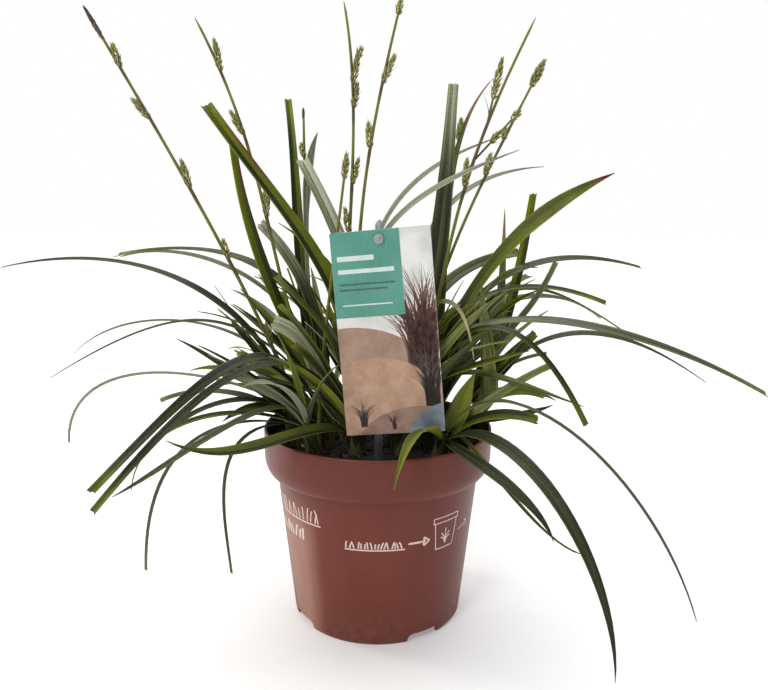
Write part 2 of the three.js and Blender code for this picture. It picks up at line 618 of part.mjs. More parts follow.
function culmParts([name, distance, angle, tip, lean, fall, crook, spikes, tipSpike]) {
  const azimuth = radians(angle);
  const foot = new THREE.Vector3(distance * Math.cos(azimuth), distance * Math.sin(azimuth), SOIL_LEVEL);
  const curve = archCurve(foot, new THREE.Vector3(...tip), { lean, fall, crook });
  const start = curve.getTangent(0);
  const below = foot.clone().addScaledVector(start, -STEM_HOLE_DEPTH + 2);
  const outlines = [ringOf(below, start, stemRadius(0), STEM_SIDES)];
  const rows = 8;
  for (let row = 0; row < rows; row += 1) {
    const t = row / rows;
    outlines.push(ringOf(curve.getPoint(t), curve.getTangent(t), stemRadius(t), STEM_SIDES));
  }
  outlines.push(ringOf(curve.getPoint(0.985), curve.getTangent(0.985), stemRadius(1), STEM_SIDES));
  outlines.push([curve.getPoint(1)]);
  const solids = [loft(outlines)];
  spikes.forEach(([t, length, side, stalk = 0, spread = 0.22]) => {
    const direction = curve.getTangent(t);
    const out = ringOf(new THREE.Vector3(), direction, 1, 12)[Math.round(side / 30) % 12];
    const lifted = direction.clone().addScaledVector(out, spread).normalize();
    const spikeFoot = curve.getPoint(t).addScaledVector(lifted, stalk);
    if (stalk > 0) {
      const ends = [curve.getPoint(t), spikeFoot.clone().addScaledVector(lifted, 1)];
      solids.push(loft(ends.map((end) => ringOf(end, lifted, STALK_RADIUS, STEM_SIDES))));
    }
    solids.push(spikeSolid(spikeFoot, lifted, length, 1.9));
  });
  const tipSize = TIP_SPIKES[tipSpike];
  if (tipSize) {
    const [length, radius] = tipSize;
    const direction = curve.getTangent(1);
    const spikeFoot = curve.getPoint(1).addScaledVector(direction, -0.93 * length);
    solids.push(spikeSolid(spikeFoot, direction, length, radius));
  }
  const hole = loft([
    ringOf(below.clone().addScaledVector(start, -GAP), start, stemRadius(0) + 2.2 * GAP, STEM_SIDES),
    ringOf(foot.clone().addScaledVector(start, 6), start, stemRadius(0) + 2.2 * GAP, STEM_SIDES),
  ]);
  return { name, solid: joined(solids), hole };
}

// ---------------------------------------------------------------- assembly

// Solids that a new leaf keeps clear of, each with the node that owns it.
const placed = [];

function place(owner, solid, freePart = null) {
  const free = freePart && { solid: freePart, box: freePart.boundingBox() };
  placed.push({ owner, solid, box: solid.boundingBox(), free });
}

function boxesMeet(one, other) {
  return [0, 1, 2].every((axis) => one.min[axis] <= other.max[axis] && other.min[axis] <= one.max[axis]);
}

const meets = (solid, box, piece) => boxesMeet(box, piece.box) && !solid.intersect(piece.solid).isEmpty();

// A leaf keeps clear of other nodes from its root on, and of its own shoot's leaves from where it
// has left them at the sheath.
function isClear(owner, outlines) {
  const solid = loft(outlines);
  const box = solid.boundingBox();
  if (placed.some((piece) => piece.owner !== owner && meets(solid, box, piece))) return false;
  const free = loft(outlines.slice(1));
  const freeBox = free.boundingBox();
  return !placed.some((piece) => piece.owner === owner && piece.free && meets(free, freeBox, piece.free));
}

// The leaf as first drawn, or bent clear of its neighbours, or null where there is no room for it.
const MAIN_ATTEMPTS = 30;
const FILL_ATTEMPTS = 7;
const FILL_DRAWS = 32;
function growLeaf(owner, leaf, attempts) {
  for (let attempt = 0; attempt < attempts; attempt += 1) {
    const bent = bentLeaf(leaf, attempt);
    if (isClear(owner, leafOutlines(bent, 0.75 * GAP))) {
      const outlines = leafOutlines(bent, 0);
      const solid = loft(outlines);
      place(owner, solid, loft(outlines.slice(1)));
      return solid;
    }
  }
  return null;
}

const plant = new THREE.Group();
const shoots = makeShoots();
const culms = CULMS.map(culmParts);

const pot = potSolid();
const soil = soilSolid([stakeHole(), ...shoots.map(sheathHole), ...culms.map((culm) => culm.hole)]);
const card = cardSolid();
const stake = stakeSolid();
place('pot', pot);
place('soil', soil);
place('label_card', card);
place('label_stake', stake);
culms.forEach((culm) => place(culm.name, culm.solid));

const shootSolids = new Map(shoots.map((shoot) => [shoot.name, [sheathSolid(shoot)]]));
shoots.forEach((shoot) => place(shoot.name, shootSolids.get(shoot.name)[0]));

function addLeaf(shoot, leaf, attempts) {
  const solid = growLeaf(shoot.name, leaf, attempts);
  if (solid) shootSolids.get(shoot.name).push(solid);
  return solid !== null;
}

MAIN_LEAVES.forEach(([shootName, tip, lean, fall, crook, width, end, turn, bow = 0]) => {
  const shoot = shoots.find(({ name }) => name === `shoot_${shootName}`);
  const heading = Math.atan2(tip[1] - shoot.foot.y, tip[0] - shoot.foot.x);
  const root = leafRoot(shoot, heading);
  const leaf = { root, tip: new THREE.Vector3(...tip), lean, fall, crook, width, end, turn, bow };
  addLeaf(shoot, leaf, MAIN_ATTEMPTS);
});

// Each shoot is then filled up to its number of leaves: a leaf with no room is drawn again.
shoots.forEach((shoot, shootNumber) => {
  for (let draw = 0; draw < FILL_DRAWS; draw += 1) {
    if (shootSolids.get(shoot.name).length > shoot.leaves) break;
    const leaf = fillLeaf(shoot, FILL_DRAWS * shootNumber + draw);
    if (isInReach(leaf.tip)) addLeaf(shoot, leaf, FILL_ATTEMPTS);
  }
});

plant.add(toMesh('pot', pot, potPlastic));
plant.add(toMesh('soil', soil, peat));
plant.add(toMesh('label_card', card, cardPrint));
plant.add(toMesh('label_stake', stake, stakePlastic));
shoots.forEach(({ name }) => plant.add(toMesh(name, joined(shootSolids.get(name)), leafGreen)));
culms.forEach(({ name, solid }) => plant.add(toMesh(name, solid, stemGreen)));

export default plant;
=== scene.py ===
# %% [markdown]
# # A sedge in its nursery pot
#
# Carex is a grass-like plant: shoots stand in rings in the peat, each sends out a fan of arching,
# folded blades, and thin three-edged stems carry the flower spikes. A label card hangs on a stake.
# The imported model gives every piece's place and size. This file gives each one its real surface:
# thin veined blades, beaked fruits, crumbly peat, moulded plastic and a printed card.

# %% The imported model
import math
import random

import bmesh
import bpy
from mathutils import Matrix, Vector, noise
from mathutils.kdtree import KDTree


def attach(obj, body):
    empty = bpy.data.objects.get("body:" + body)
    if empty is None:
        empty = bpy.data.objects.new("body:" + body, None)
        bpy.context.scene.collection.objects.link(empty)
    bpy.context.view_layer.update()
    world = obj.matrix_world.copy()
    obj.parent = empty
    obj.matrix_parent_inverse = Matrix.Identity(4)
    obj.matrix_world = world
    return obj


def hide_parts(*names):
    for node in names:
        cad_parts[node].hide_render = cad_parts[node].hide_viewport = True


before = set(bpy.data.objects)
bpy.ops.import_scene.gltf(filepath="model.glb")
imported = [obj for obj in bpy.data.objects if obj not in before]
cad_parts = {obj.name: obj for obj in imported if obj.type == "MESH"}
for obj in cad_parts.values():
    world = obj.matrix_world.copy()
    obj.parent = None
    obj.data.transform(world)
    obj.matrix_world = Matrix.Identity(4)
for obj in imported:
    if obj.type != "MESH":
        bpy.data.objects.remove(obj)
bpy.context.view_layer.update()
print("pieces in the packed model:", len(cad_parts))

MM = 0.001  # sizes below are in millimetres, and Blender's are in metres

# %% [markdown]
# ## Camera
#
# The viewer looks slightly down at the pot from about 40 cm, as over a table. The camera's place
# and its 11 degree pitch fix the whole picture. It could be aimed with a Track To constraint, but
# writing its three axes as a matrix keeps a small roll exactly as it is.

# %% Camera
CAMERA_PLACE = Vector((3.3, -409, 237)) * MM
CAMERA_PITCH = math.radians(11)
CAMERA_ROLL = math.radians(0.3)
IMAGE_WIDTH = 768
FOCAL_PIXELS = 730

ahead = Vector((0, math.cos(CAMERA_PITCH), -math.sin(CAMERA_PITCH)))
camera_turn = Matrix.Rotation(-CAMERA_ROLL, 3, ahead)
right = camera_turn @ Vector((1, 0, 0))
above = right.cross(ahead)

camera_data = bpy.data.cameras.new("camera")
camera_data.sensor_width = 36
camera_data.lens = camera_data.sensor_width * FOCAL_PIXELS / IMAGE_WIDTH
camera_data.clip_start = 0.01
camera = bpy.data.objects.new("camera", camera_data)
bpy.context.scene.collection.objects.link(camera)
camera.matrix_world = Matrix.Translation(CAMERA_PLACE) @ Matrix((right, above, -ahead)).transposed().to_4x4()
bpy.context.scene.camera = camera
print("lens:", round(camera_data.lens, 1), "mm")

# %% [markdown]
# ## Small tools for the materials
#
# A material is a web of nodes. These helpers only save typing: they set a node's sockets, mix
# colours and lay tints over one another. One opens a node group with named sockets, so that an
# effect such as leaf veins is built once and then used in several materials in different amounts.

# %% Small tools for the materials
def plug(tree, target, values):
    """Sets a node's sockets, each to a plain value or to another node's output."""
    for name, value in values.items():
        socket = target.inputs[name]
        if isinstance(value, bpy.types.NodeSocket):
            tree.links.new(value, socket)
        else:
            socket.default_value = (*value, 1) if socket.type == "RGBA" else value


def node(tree, kind, values=None, **settings):
    """A new node of a kind, with its settings and its sockets' values."""
    made = tree.nodes.new("ShaderNode" + kind)
    for name, setting in settings.items():
        setattr(made, name, setting)
    plug(tree, made, values or {})
    return made


def maths(tree, operation, *values):
    return node(tree, "Math", dict(enumerate(values)), operation=operation).outputs[0]


def mixed(tree, share, first, second):
    """Two colours mixed by a share from 0 to 1."""
    return node(tree, "Mix", {0: share, 6: first, 7: second}, data_type="RGBA").outputs[2]


def layered(tree, colour, *layers):
    """A colour with tints over it. Each has a mask, the share of it that counts, and its colour."""
    for mask, strength, tint in layers:
        colour = mixed(tree, maths(tree, "MULTIPLY", mask, strength), colour, tint)
    return colour


def stretch(tree, value, low, high, to_low=0.0, to_high=1.0):
    """A value moved from one range to another, smoothly and with its ends held."""
    values = {"Value": value, "From Min": low, "From Max": high, "To Min": to_low, "To Max": to_high}
    return node(tree, "MapRange", values, interpolation_type="SMOOTHSTEP").outputs[0]

# %% Small tools for groups and materials
def new_group(name, vector, numbers, results):
    """An empty node group: its vector input, its number inputs with their values, its results."""
    tree = bpy.data.node_groups.new(name, "ShaderNodeTree")
    tree.interface.new_socket(vector, in_out="INPUT", socket_type="NodeSocketVector")
    for label, value in numbers.items():
        socket = tree.interface.new_socket(label, in_out="INPUT", socket_type="NodeSocketFloat")
        socket.default_value = value
    for label in results:
        tree.interface.new_socket(label, in_out="OUTPUT", socket_type="NodeSocketFloat")
    return tree, tree.nodes.new("NodeGroupInput").outputs, tree.nodes.new("NodeGroupOutput")


def new_material(name, viewport_colour):
    """A material, its tree and its Principled shader."""
    material = bpy.data.materials.new(name)
    material.use_nodes = True
    material.diffuse_color = (*viewport_colour, 1)
    return material, material.node_tree, material.node_tree.nodes["Principled BSDF"]


def relief(tree, height, depth_mm):
    """The normals of a relief of a real depth, from a height between 0 and 1."""
    values = {"Height": height, "Distance": depth_mm * MM, "Strength": 1.0}
    return node(tree, "Bump", values).outputs["Normal"]

# %% [markdown]
# ## Floor and light
#
# The pot stands on a white studio table, in a light tent that is open at the front. A round floor
# much larger than the plant has no corner to hide from any side. It glows a little, as a lit table
# of opal plastic does, which keeps the shadow pale. A wide soft sun that leans to the back stands
# for the tent's roof, a tall warm strip on the left gives the pot its pale left edge, and a small
# square lamp in front lights the card. The camera sees a white world, but glossy surfaces mirror a
# dimmer one and what lights the plant is dimmer still, so that the shaded sides stay deep: the
# Light Path node tells the kinds of ray apart.

# %% Floor
FLOOR_RADIUS = 6.0
FLOOR_GLOW = 0.25
FLOOR_COLOUR = (0.8, 0.8, 0.8)


def mesh_from(shape, name):
    """A mesh made from a bmesh, which is then set free."""
    mesh = bpy.data.meshes.new(name)
    shape.to_mesh(mesh)
    shape.free()
    return mesh


def link(name, data, materials=()):
    """A new object of a finished mesh or a light, in the scene, with its materials."""
    made = bpy.data.objects.new(name, data)
    bpy.context.scene.collection.objects.link(made)
    for material in materials:
        data.materials.append(material)
    return made


floor_shape = bmesh.new()
bmesh.ops.create_circle(floor_shape, cap_ends=True, segments=64, radius=FLOOR_RADIUS)
floor_paint, tree, shader = new_material("studio_floor", FLOOR_COLOUR)
plug(tree, shader, {
    "Base Color": FLOOR_COLOUR, "Emission Color": (1, 1, 1), "Emission Strength": FLOOR_GLOW,
    "Roughness": 0.7, "Specular IOR Level": 0.2,
})
floor = link("floor", mesh_from(floor_shape, "floor"), [floor_paint])
print("floor across:", 2 * FLOOR_RADIUS, "m")

# %% Lamps
PLANT_MIDDLE = Vector((0, 0, 0.16))


def lamp(name, kind, place, power, **settings):
    """A lamp of a kind at a place, turned to the plant's middle."""
    light = bpy.data.lights.new(name, kind)
    light.energy = power
    for setting, value in settings.items():
        setattr(light, setting, value)
    made = link(name, light)
    made.location = place
    made.rotation_euler = (PLANT_MIDDLE - Vector(place)).to_track_quat("-Z", "Y").to_euler()


lamp("left_lamp", "AREA", (-1.3, 0.5, 0.5), 8, shape="RECTANGLE", size=0.3, size_y=0.9, color=(1, 0.93, 0.86))
lamp("front_lamp", "AREA", (-0.75, -1.2, 1.2), 9, shape="RECTANGLE", size=0.4, size_y=0.4)
lamp("tent_roof", "SUN", (-0.02, 0.36, 1.16), 2.6, angle=math.radians(60))
print("lamps:", len(bpy.data.lights))

# %% The light tent's white world
TENT_LIGHT = 0.3  # what it adds to the light on the plant
TENT_SHINE = 0.4  # how bright it looks in a glossy surface

world = bpy.data.worlds.new("light_tent")
bpy.context.scene.world = world
world.use_nodes = True
tent = world.node_tree
ray = node(tent, "LightPath").outputs
shine = node(tent, "MapRange", {"Value": ray["Is Glossy Ray"], "To Min": TENT_LIGHT, "To Max": TENT_SHINE})
seen = {"Value": ray["Is Camera Ray"], "To Min": shine.outputs["Result"], "To Max": 1.0}
brightness = node(tent, "MapRange", seen).outputs["Result"]
plug(tent, tent.nodes["Background"], {"Color": (1, 1, 1), "Strength": brightness})
bpy.context.scene.view_settings.view_transform = "Standard"
print("world nodes:", len(tent.nodes))

# %% [markdown]
# ## Effects that several materials share
#
# Three groups cover most surfaces. Mottling is the slow cloudy change of colour that every real
# surface has. Grain is fine speckle. Veins are the parallel ribs of a grass-like blade: they run
# along it, so they read the blade's own UV map, where U goes across and V along.

# %% Shared effects: mottling and grain
mottling, inside, outside = new_group("mottling", "Vector", {"Size mm": 12.0, "Contrast": 1.0}, ["Mask"])
scale = maths(mottling, "DIVIDE", 1 / MM, inside["Size mm"])
cloud = node(mottling, "TexNoise", {"Vector": inside["Vector"], "Scale": scale, "Detail": 4.0}).outputs[0]
span = maths(mottling, "DIVIDE", 0.3, inside["Contrast"])
cloud_low = maths(mottling, "SUBTRACT", 0.5, span)
cloud_high = maths(mottling, "ADD", 0.5, span)
plug(mottling, outside, {"Mask": stretch(mottling, cloud, cloud_low, cloud_high)})
print("mottling nodes:", len(mottling.nodes))

grain, inside, outside = new_group("grain", "Vector", {"Size mm": 0.5, "Share": 0.3}, ["Mask", "Height"])
scale = maths(grain, "DIVIDE", 1 / MM, inside["Size mm"])
grains = node(grain, "TexVoronoi", {"Vector": inside["Vector"], "Scale": scale}).outputs
red = node(grain, "SeparateColor", {"Color": grains["Color"]}).outputs[0]
plug(grain, outside, {"Mask": maths(grain, "LESS_THAN", red, inside["Share"]), "Height": grains["Distance"]})
print("grain nodes:", len(grain.nodes))


def clouded(tree, place, size_mm, contrast=1.0):
    """The mottling's mask, for clouds of a size."""
    values = {"Vector": place, "Size mm": size_mm, "Contrast": contrast}
    return node(tree, "Group", values, node_tree=mottling).outputs["Mask"]


def grained(tree, place, size_mm, share):
    """The grain's mask and height, for grains of a size; the mask holds a share of them."""
    values = {"Vector": place, "Size mm": size_mm, "Share": share}
    return node(tree, "Group", values, node_tree=grain).outputs

# %% Shared effects: veins
veins, inside, outside = new_group(
    "veins", "UV", {"Count": 9.0, "Midrib width": 0.07}, ["Vein", "Midrib", "Margin", "Streak", "Height"],
)


def drawn_out_noise(scale, detail):
    """Noise on the blade's UVs, drawn out along the blade by its two scales."""
    uv = node(veins, "Mapping", {"Vector": inside["UV"], "Scale": scale}).outputs[0]
    return node(veins, "TexNoise", {"Vector": uv, "Scale": 1.0, "Detail": detail}).outputs[0]


across_blade = node(veins, "SeparateXYZ", {"Vector": inside["UV"]}).outputs[0]
wavering = maths(veins, "MULTIPLY_ADD", drawn_out_noise((3, 1.2, 1), 2.0), 0.03, across_blade)
phase = maths(veins, "MULTIPLY", maths(veins, "MULTIPLY", wavering, inside["Count"]), 2 * math.pi)
ribs = maths(veins, "MULTIPLY_ADD", maths(veins, "SINE", phase), 0.5, 0.5)
from_middle = maths(veins, "ABSOLUTE", maths(veins, "SUBTRACT", across_blade, 0.5))
midrib = stretch(veins, from_middle, inside["Midrib width"], 0.0)
plug(veins, outside, {
    "Vein": ribs, "Midrib": midrib, "Margin": stretch(veins, from_middle, 0.42, 0.5),
    "Streak": stretch(veins, drawn_out_noise((6.5, 0.1, 1), 3.0), 0.46, 0.6),
    "Height": maths(veins, "MULTIPLY_ADD", midrib, -1.5, ribs),
})
print("vein nodes:", len(veins.nodes))

# %% [markdown]
# ## Pot
#
# A nursery pot is injection-moulded in one thin wall: a tapered body on a ring foot, and a taller,
# wider collar that stiffens the rim. Its profile is drawn once and spun round the axis, which
# gives a cleaner wall than a cylinder with loops pushed about. The arched gaps in the foot and the
# drain holes are then cut from it, as the mould's cores would.

# %% Pot: measures and tools for its profile
POT_HEIGHT = 111.5
RIM_RADIUS = 65.5
COLLAR_BOTTOM = 87
BODY_TOP_RADIUS = 58.5
FOOT_RADIUS = 49.3
FOOT_RING = 2.4
POT_WALL = 1.3
LIP_HEIGHT = 1.1
LIP_RADIUS = 0.8
FLOOR_UNDERSIDE = 4
FLOOR_TOP = 5.5
POT_STEPS = 144


def spin_profile(shape, profile, steps):
    """A closed wall from a (radius, height) profile turned once about the Z axis."""
    corners = [shape.verts.new((radius * MM, 0, height * MM)) for radius, height in profile]
    edges = [shape.edges.new(pair) for pair in zip(corners, corners[1:])]
    bmesh.ops.spin(
        shape, geom=corners + edges, cent=(0, 0, 0), axis=(0, 0, 1), angle=2 * math.pi,
        steps=steps, use_merge=True,
    )
    bmesh.ops.remove_doubles(shape, verts=shape.verts, dist=1e-6)
    bmesh.ops.recalc_face_normals(shape, faces=shape.faces)


def quarter_round(start, end, count):
    """Points from start to end that leave start level and arrive upright."""
    turns = [step / count * math.pi / 2 for step in range(1, count + 1)]
    shares = [(math.sin(turn), 1 - math.cos(turn)) for turn in turns]
    return [(start[0] + (end[0] - start[0]) * x, start[1] + (end[1] - start[1]) * z) for x, z in shares]

# %% Pot: shape
wall_foot = (FOOT_RADIUS, 1.2)
wall_top = (BODY_TOP_RADIUS, COLLAR_BOTTOM - 0.8)
ring_inside = FOOT_RADIUS - FOOT_RING
pot_profile = [(0, FLOOR_UNDERSIDE), (ring_inside - 0.3, FLOOR_UNDERSIDE), (ring_inside, 0)]
pot_profile += [(FOOT_RADIUS - 0.9, 0), wall_foot]
for share in (0.03, 0.06, 0.25, 0.5, 0.75, 0.97, 1.0):
    radius = wall_foot[0] + (wall_top[0] - wall_foot[0]) * share
    pot_profile.append((radius, wall_foot[1] + (wall_top[1] - wall_foot[1]) * share))
pot_profile += [(BODY_TOP_RADIUS + 0.3, COLLAR_BOTTOM - 0.35), (60.6, COLLAR_BOTTOM - 0.05)]
pot_profile += quarter_round((61.4, COLLAR_BOTTOM + 0.1), (RIM_RADIUS, COLLAR_BOTTOM + 10), 9)
lip_start = POT_HEIGHT - LIP_HEIGHT
pot_profile += [(RIM_RADIUS, lip_start - 8), (RIM_RADIUS + 0.05, lip_start)]
for step in range(1, 8):
    turn = step / 8 * math.pi
    lip_radius = RIM_RADIUS - LIP_RADIUS + LIP_RADIUS * math.cos(turn)
    pot_profile.append((lip_radius, lip_start + LIP_HEIGHT * math.sin(turn)))
pot_profile += [(RIM_RADIUS - POT_WALL - 0.2, lip_start - 1), (RIM_RADIUS - POT_WALL, COLLAR_BOTTOM + 10)]
pot_profile += [(63.8, COLLAR_BOTTOM + 6), (62.5, COLLAR_BOTTOM + 3), (60.6, COLLAR_BOTTOM + 1.6)]
pot_profile += [(BODY_TOP_RADIUS - POT_WALL, COLLAR_BOTTOM + 1), (FOOT_RADIUS - 1.1, FLOOR_TOP)]
pot_profile += [(0, FLOOR_TOP)]

pot_shape = bmesh.new()
spin_profile(pot_shape, pot_profile, POT_STEPS)
shell = link("pot_shell", mesh_from(pot_shape, "pot_shell"))
print("profile points:", len(pot_profile))

# %% Pot: cores for the foot's arches and the drain holes
NOTCH_COUNT = 4
NOTCH_FIRST_ANGLE = 32
NOTCH_DEPTH = 12
NOTCH_WIDTH = 20
NOTCH_HEIGHT = 4.6
NOTCH_ROUNDING = 3
DRAIN_COUNT = 6
DRAIN_CIRCLE = 34
DRAIN_RADIUS = 4
DRAIN_CORE_DEPTH = 6


def rounded(shape, geometry, radius, segments, **settings):
    """Edges rounded off by a bevel."""
    return bmesh.ops.bevel(
        shape, geom=geometry, offset=radius, segments=segments, profile=0.5, affect="EDGES",
        material=-1, **settings,
    )


core_shape = bmesh.new()
for notch in range(NOTCH_COUNT):
    core = bmesh.ops.create_cube(core_shape, size=1)["verts"]
    core_size = Vector((NOTCH_DEPTH, NOTCH_WIDTH, 2 * NOTCH_HEIGHT)) * MM
    bmesh.ops.scale(core_shape, vec=core_size, verts=core)
    top_edges = {edge for vert in core for edge in vert.link_edges}
    top_edges = [edge for edge in top_edges if all(vert.co.z > 0 for vert in edge.verts)]
    long_edges = [edge for edge in top_edges if abs(edge.verts[0].co.x - edge.verts[1].co.x) > MM]
    arch = rounded(core_shape, long_edges, NOTCH_ROUNDING * MM, 5)
    core = list(set(arch["verts"]) | {vert for vert in core if vert.is_valid})
    bmesh.ops.translate(core_shape, vec=(FOOT_RADIUS * MM, 0, 0), verts=core)
    turn = Matrix.Rotation(math.radians(NOTCH_FIRST_ANGLE + 360 / NOTCH_COUNT * notch), 3, "Z")
    bmesh.ops.rotate(core_shape, cent=(0, 0, 0), matrix=turn, verts=core)
for drain in range(DRAIN_COUNT):
    angle = 2 * math.pi * drain / DRAIN_COUNT
    place = Vector((math.cos(angle), math.sin(angle), 0)) * DRAIN_CIRCLE + Vector((0, 0, FLOOR_TOP))
    bmesh.ops.create_cone(
        core_shape, cap_ends=True, segments=24, radius1=DRAIN_RADIUS * MM, radius2=DRAIN_RADIUS * MM,
        depth=DRAIN_CORE_DEPTH * MM, matrix=Matrix.Translation(place * MM),
    )
bmesh.ops.recalc_face_normals(core_shape, faces=core_shape.faces)
print("core faces:", len(core_shape.faces))

# %% Pot: cut them
cores = link("mould_cores", mesh_from(core_shape, "mould_cores"))
cut = shell.modifiers.new("cores", "BOOLEAN")
cut.operation = "DIFFERENCE"
cut.solver = "EXACT"
cut.object = cores
cut_shell = shell.evaluated_get(bpy.context.evaluated_depsgraph_get())
pot_body_mesh = bpy.data.meshes.new_from_object(cut_shell)
pot_body_mesh.name = "pot_body"
bpy.data.objects.remove(shell)
bpy.data.objects.remove(cores)
pot_body_mesh.shade_smooth()
pot_body_mesh.set_sharp_from_angle(angle=math.radians(40))
print("pot faces:", len(pot_body_mesh.polygons))

# %% [markdown]
# ## Pot: plastic
#
# The plastic is a satin red-brown. Recycled stock is never quite even, so the colour drifts in
# clouds, and flow lines run up the wall from the mould's gate in the base. Pale dust and dried peat
# cling near the foot, and handling leaves fine scuffs. A pale tan streak up the left wall is a
# painted highlight, and the wall is painted darker under the collar as painted shade from the
# leaves. The inside of the wall above the peat is darker. Roughness changes with the marks, which
# breaks up the highlight.

# %% Pot: where the plastic is marked
HIGHLIGHT_STREAK_ANGLE = math.radians(216)  # where the painted highlight runs up the wall, round the axis

pot_plastic, tree, shader = new_material("pot_plastic", (0.16, 0.05, 0.04))
place = node(tree, "TexCoord").outputs["Object"]
rise = maths(tree, "MULTIPLY", node(tree, "SeparateXYZ", {"Vector": place}).outputs[2], 1 / MM)


def vector_maths(operation, result, *values):
    return node(tree, "VectorMath", dict(enumerate(values)), operation=operation).outputs[result]


flow_place = node(tree, "Mapping", {"Vector": place, "Scale": (1, 1, 0.08)}).outputs[0]
band_place = node(tree, "Mapping", {"Vector": place, "Scale": (0.12, 0.12, 1)}).outputs[0]
scuff_turn = {"Vector": place, "Rotation": (0.4, 0.9, 0.3), "Scale": (1, 9, 1)}
clouds = clouded(tree, place, 34.0)
flow = clouded(tree, flow_place, 7.0)
bands = clouded(tree, band_place, 5.0, 1.2)
scuffs = clouded(tree, node(tree, "Mapping", scuff_turn).outputs[0], 2.6, 3.5)
foot_dust = maths(tree, "MULTIPLY", clouded(tree, place, 5.0, 2.0), stretch(tree, rise, 26.0, 0.0))

# painted highlight: a pale tan streak up the left wall stands in for the light that falls there
round_wall = vector_maths("MULTIPLY", "Vector", place, (1, 1, 0))
round_wall = vector_maths("NORMALIZE", "Vector", round_wall)
streak_middle = (math.cos(HIGHLIGHT_STREAK_ANGLE), math.sin(HIGHLIGHT_STREAK_ANGLE), 0)
facing = vector_maths("DOT_PRODUCT", "Value", round_wall, streak_middle)
highlight_streak = maths(tree, "MULTIPLY", stretch(tree, facing, 0.93, 1.01), stretch(tree, rise, 86.0, 60.0))
highlight_streak = maths(tree, "MULTIPLY", highlight_streak, stretch(tree, flow, 0.0, 1.0, 0.75, 1.0))
from_axis = vector_maths("MULTIPLY", "Vector", place, (1 / MM, 1 / MM, 0))
from_axis = vector_maths("LENGTH", "Value", from_axis)
# the inside of the wall above the peat is darkened
inner_wall_dark = maths(tree, "MULTIPLY", stretch(tree, from_axis, 64.5, 64.2), stretch(tree, rise, 94.0, 98.0))
print("nodes for the marks:", len(tree.nodes))

# %% Pot: plastic
colour = layered(
    tree, mixed(tree, clouds, (0.142, 0.022, 0.011), (0.165, 0.028, 0.015)),
    (flow, 0.14, (0.19, 0.055, 0.036)),
    # painted shade: the wall darkens towards the collar, where the leaves shade it
    (stretch(tree, rise, 60.0, 100.0), 0.35, (0.09, 0.012, 0.005)),
    (bands, 0.1, (0.12, 0.034, 0.027)),
    (scuffs, 0.03, (0.33, 0.16, 0.12)),
    (foot_dust, 0.16, (0.3, 0.19, 0.13)),
    # painted highlight: the pale tan streak up the left wall
    (highlight_streak, 0.62, (0.5, 0.27, 0.19)),
    (inner_wall_dark, 0.85, (0.022, 0.012, 0.008)),
)
roughness = maths(tree, "MULTIPLY_ADD", flow, 0.04, 0.36)
roughness = maths(tree, "MULTIPLY_ADD", scuffs, 0.03, roughness)
roughness = maths(tree, "MULTIPLY_ADD", foot_dust, 0.25, roughness)
plug(tree, shader, {
    "Base Color": colour, "Roughness": roughness, "Specular IOR Level": 0.3,
    "Normal": relief(tree, bands, 0.02),
})

pot = link("pot_body", pot_body_mesh, [pot_plastic])
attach(pot, "root")
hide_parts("pot")
print("pot plastic nodes:", len(tree.nodes))

# %% [markdown]
# ## Pot: pale print
#
# Growers print a few pale marks on such pots. These are plain ones: two rows of grass strokes on
# the left, one row in the middle, an arrow, a pot outline with a tuft in it and a second arrow.
# Each is a flat shape, drawn upright and then wrapped onto the tapered wall, a hair outside it, as
# real ink lies on the plastic.

# %% Pot: tools that place shapes
def placed(shape, verts, size=None, turn=None, place=None):
    """Some vertices, scaled, then turned and then moved."""
    if size:
        bmesh.ops.scale(shape, vec=size, verts=verts)
    if turn:
        bmesh.ops.rotate(shape, cent=(0, 0, 0), matrix=turn, verts=verts)
    if place:
        bmesh.ops.translate(shape, vec=place, verts=verts)
    return verts


def flat_grid(shape, columns, rows):
    """The vertices of a flat unit grid."""
    return bmesh.ops.create_grid(shape, x_segments=columns, y_segments=rows, size=0.5)["verts"]

# %% Pot: tools for the print
INK_LIFT = 0.06


def ink_bar(shape, start, end, width):
    """A straight bar of ink from start to end, as (millimetres round the wall, height)."""
    start, end = Vector(start), Vector(end)
    length = (end - start).length
    turn = Matrix.Rotation(math.atan2(end.y - start.y, end.x - start.x), 3, "Z")
    bar = flat_grid(shape, max(2, int(length / 2)), 1)
    return placed(shape, bar, (length, width, 1), turn, ((start + end) / 2).to_3d())


def wrap_on_pot(verts, azimuth):
    """Bends flat ink round the wall; x = 0 lands at the azimuth, in degrees."""
    for vert in verts:
        share = (vert.co.y - wall_foot[1]) / (wall_top[1] - wall_foot[1])
        radius = wall_foot[0] + (wall_top[0] - wall_foot[0]) * share + INK_LIFT
        turn = math.radians(azimuth) + vert.co.x / radius
        vert.co = Vector((radius * math.cos(turn), radius * math.sin(turn), vert.co.y)) * MM


def arc_points(centre, radius, first, last):
    turns = [math.radians(first + (last - first) * step / 8) for step in range(9)]
    return [(centre[0] + radius * math.cos(turn), centre[1] + radius * math.sin(turn)) for turn in turns]


def grass_strokes(reach, low, height, spacing, seed):
    """A row of upright strokes that lean a little each way, like mown grass."""
    draw = random.Random(seed)
    lines = []
    x = -reach
    while x < reach:
        lean = draw.uniform(-0.3, 0.3)
        tall = height * draw.uniform(0.7, 1)
        bend = lean * tall
        lines.append([(x, low), (x + 0.5 * bend, low + 0.6 * tall), (x + 1.3 * bend, low + tall)])
        x += spacing * draw.uniform(0.75, 1.25)
    return lines

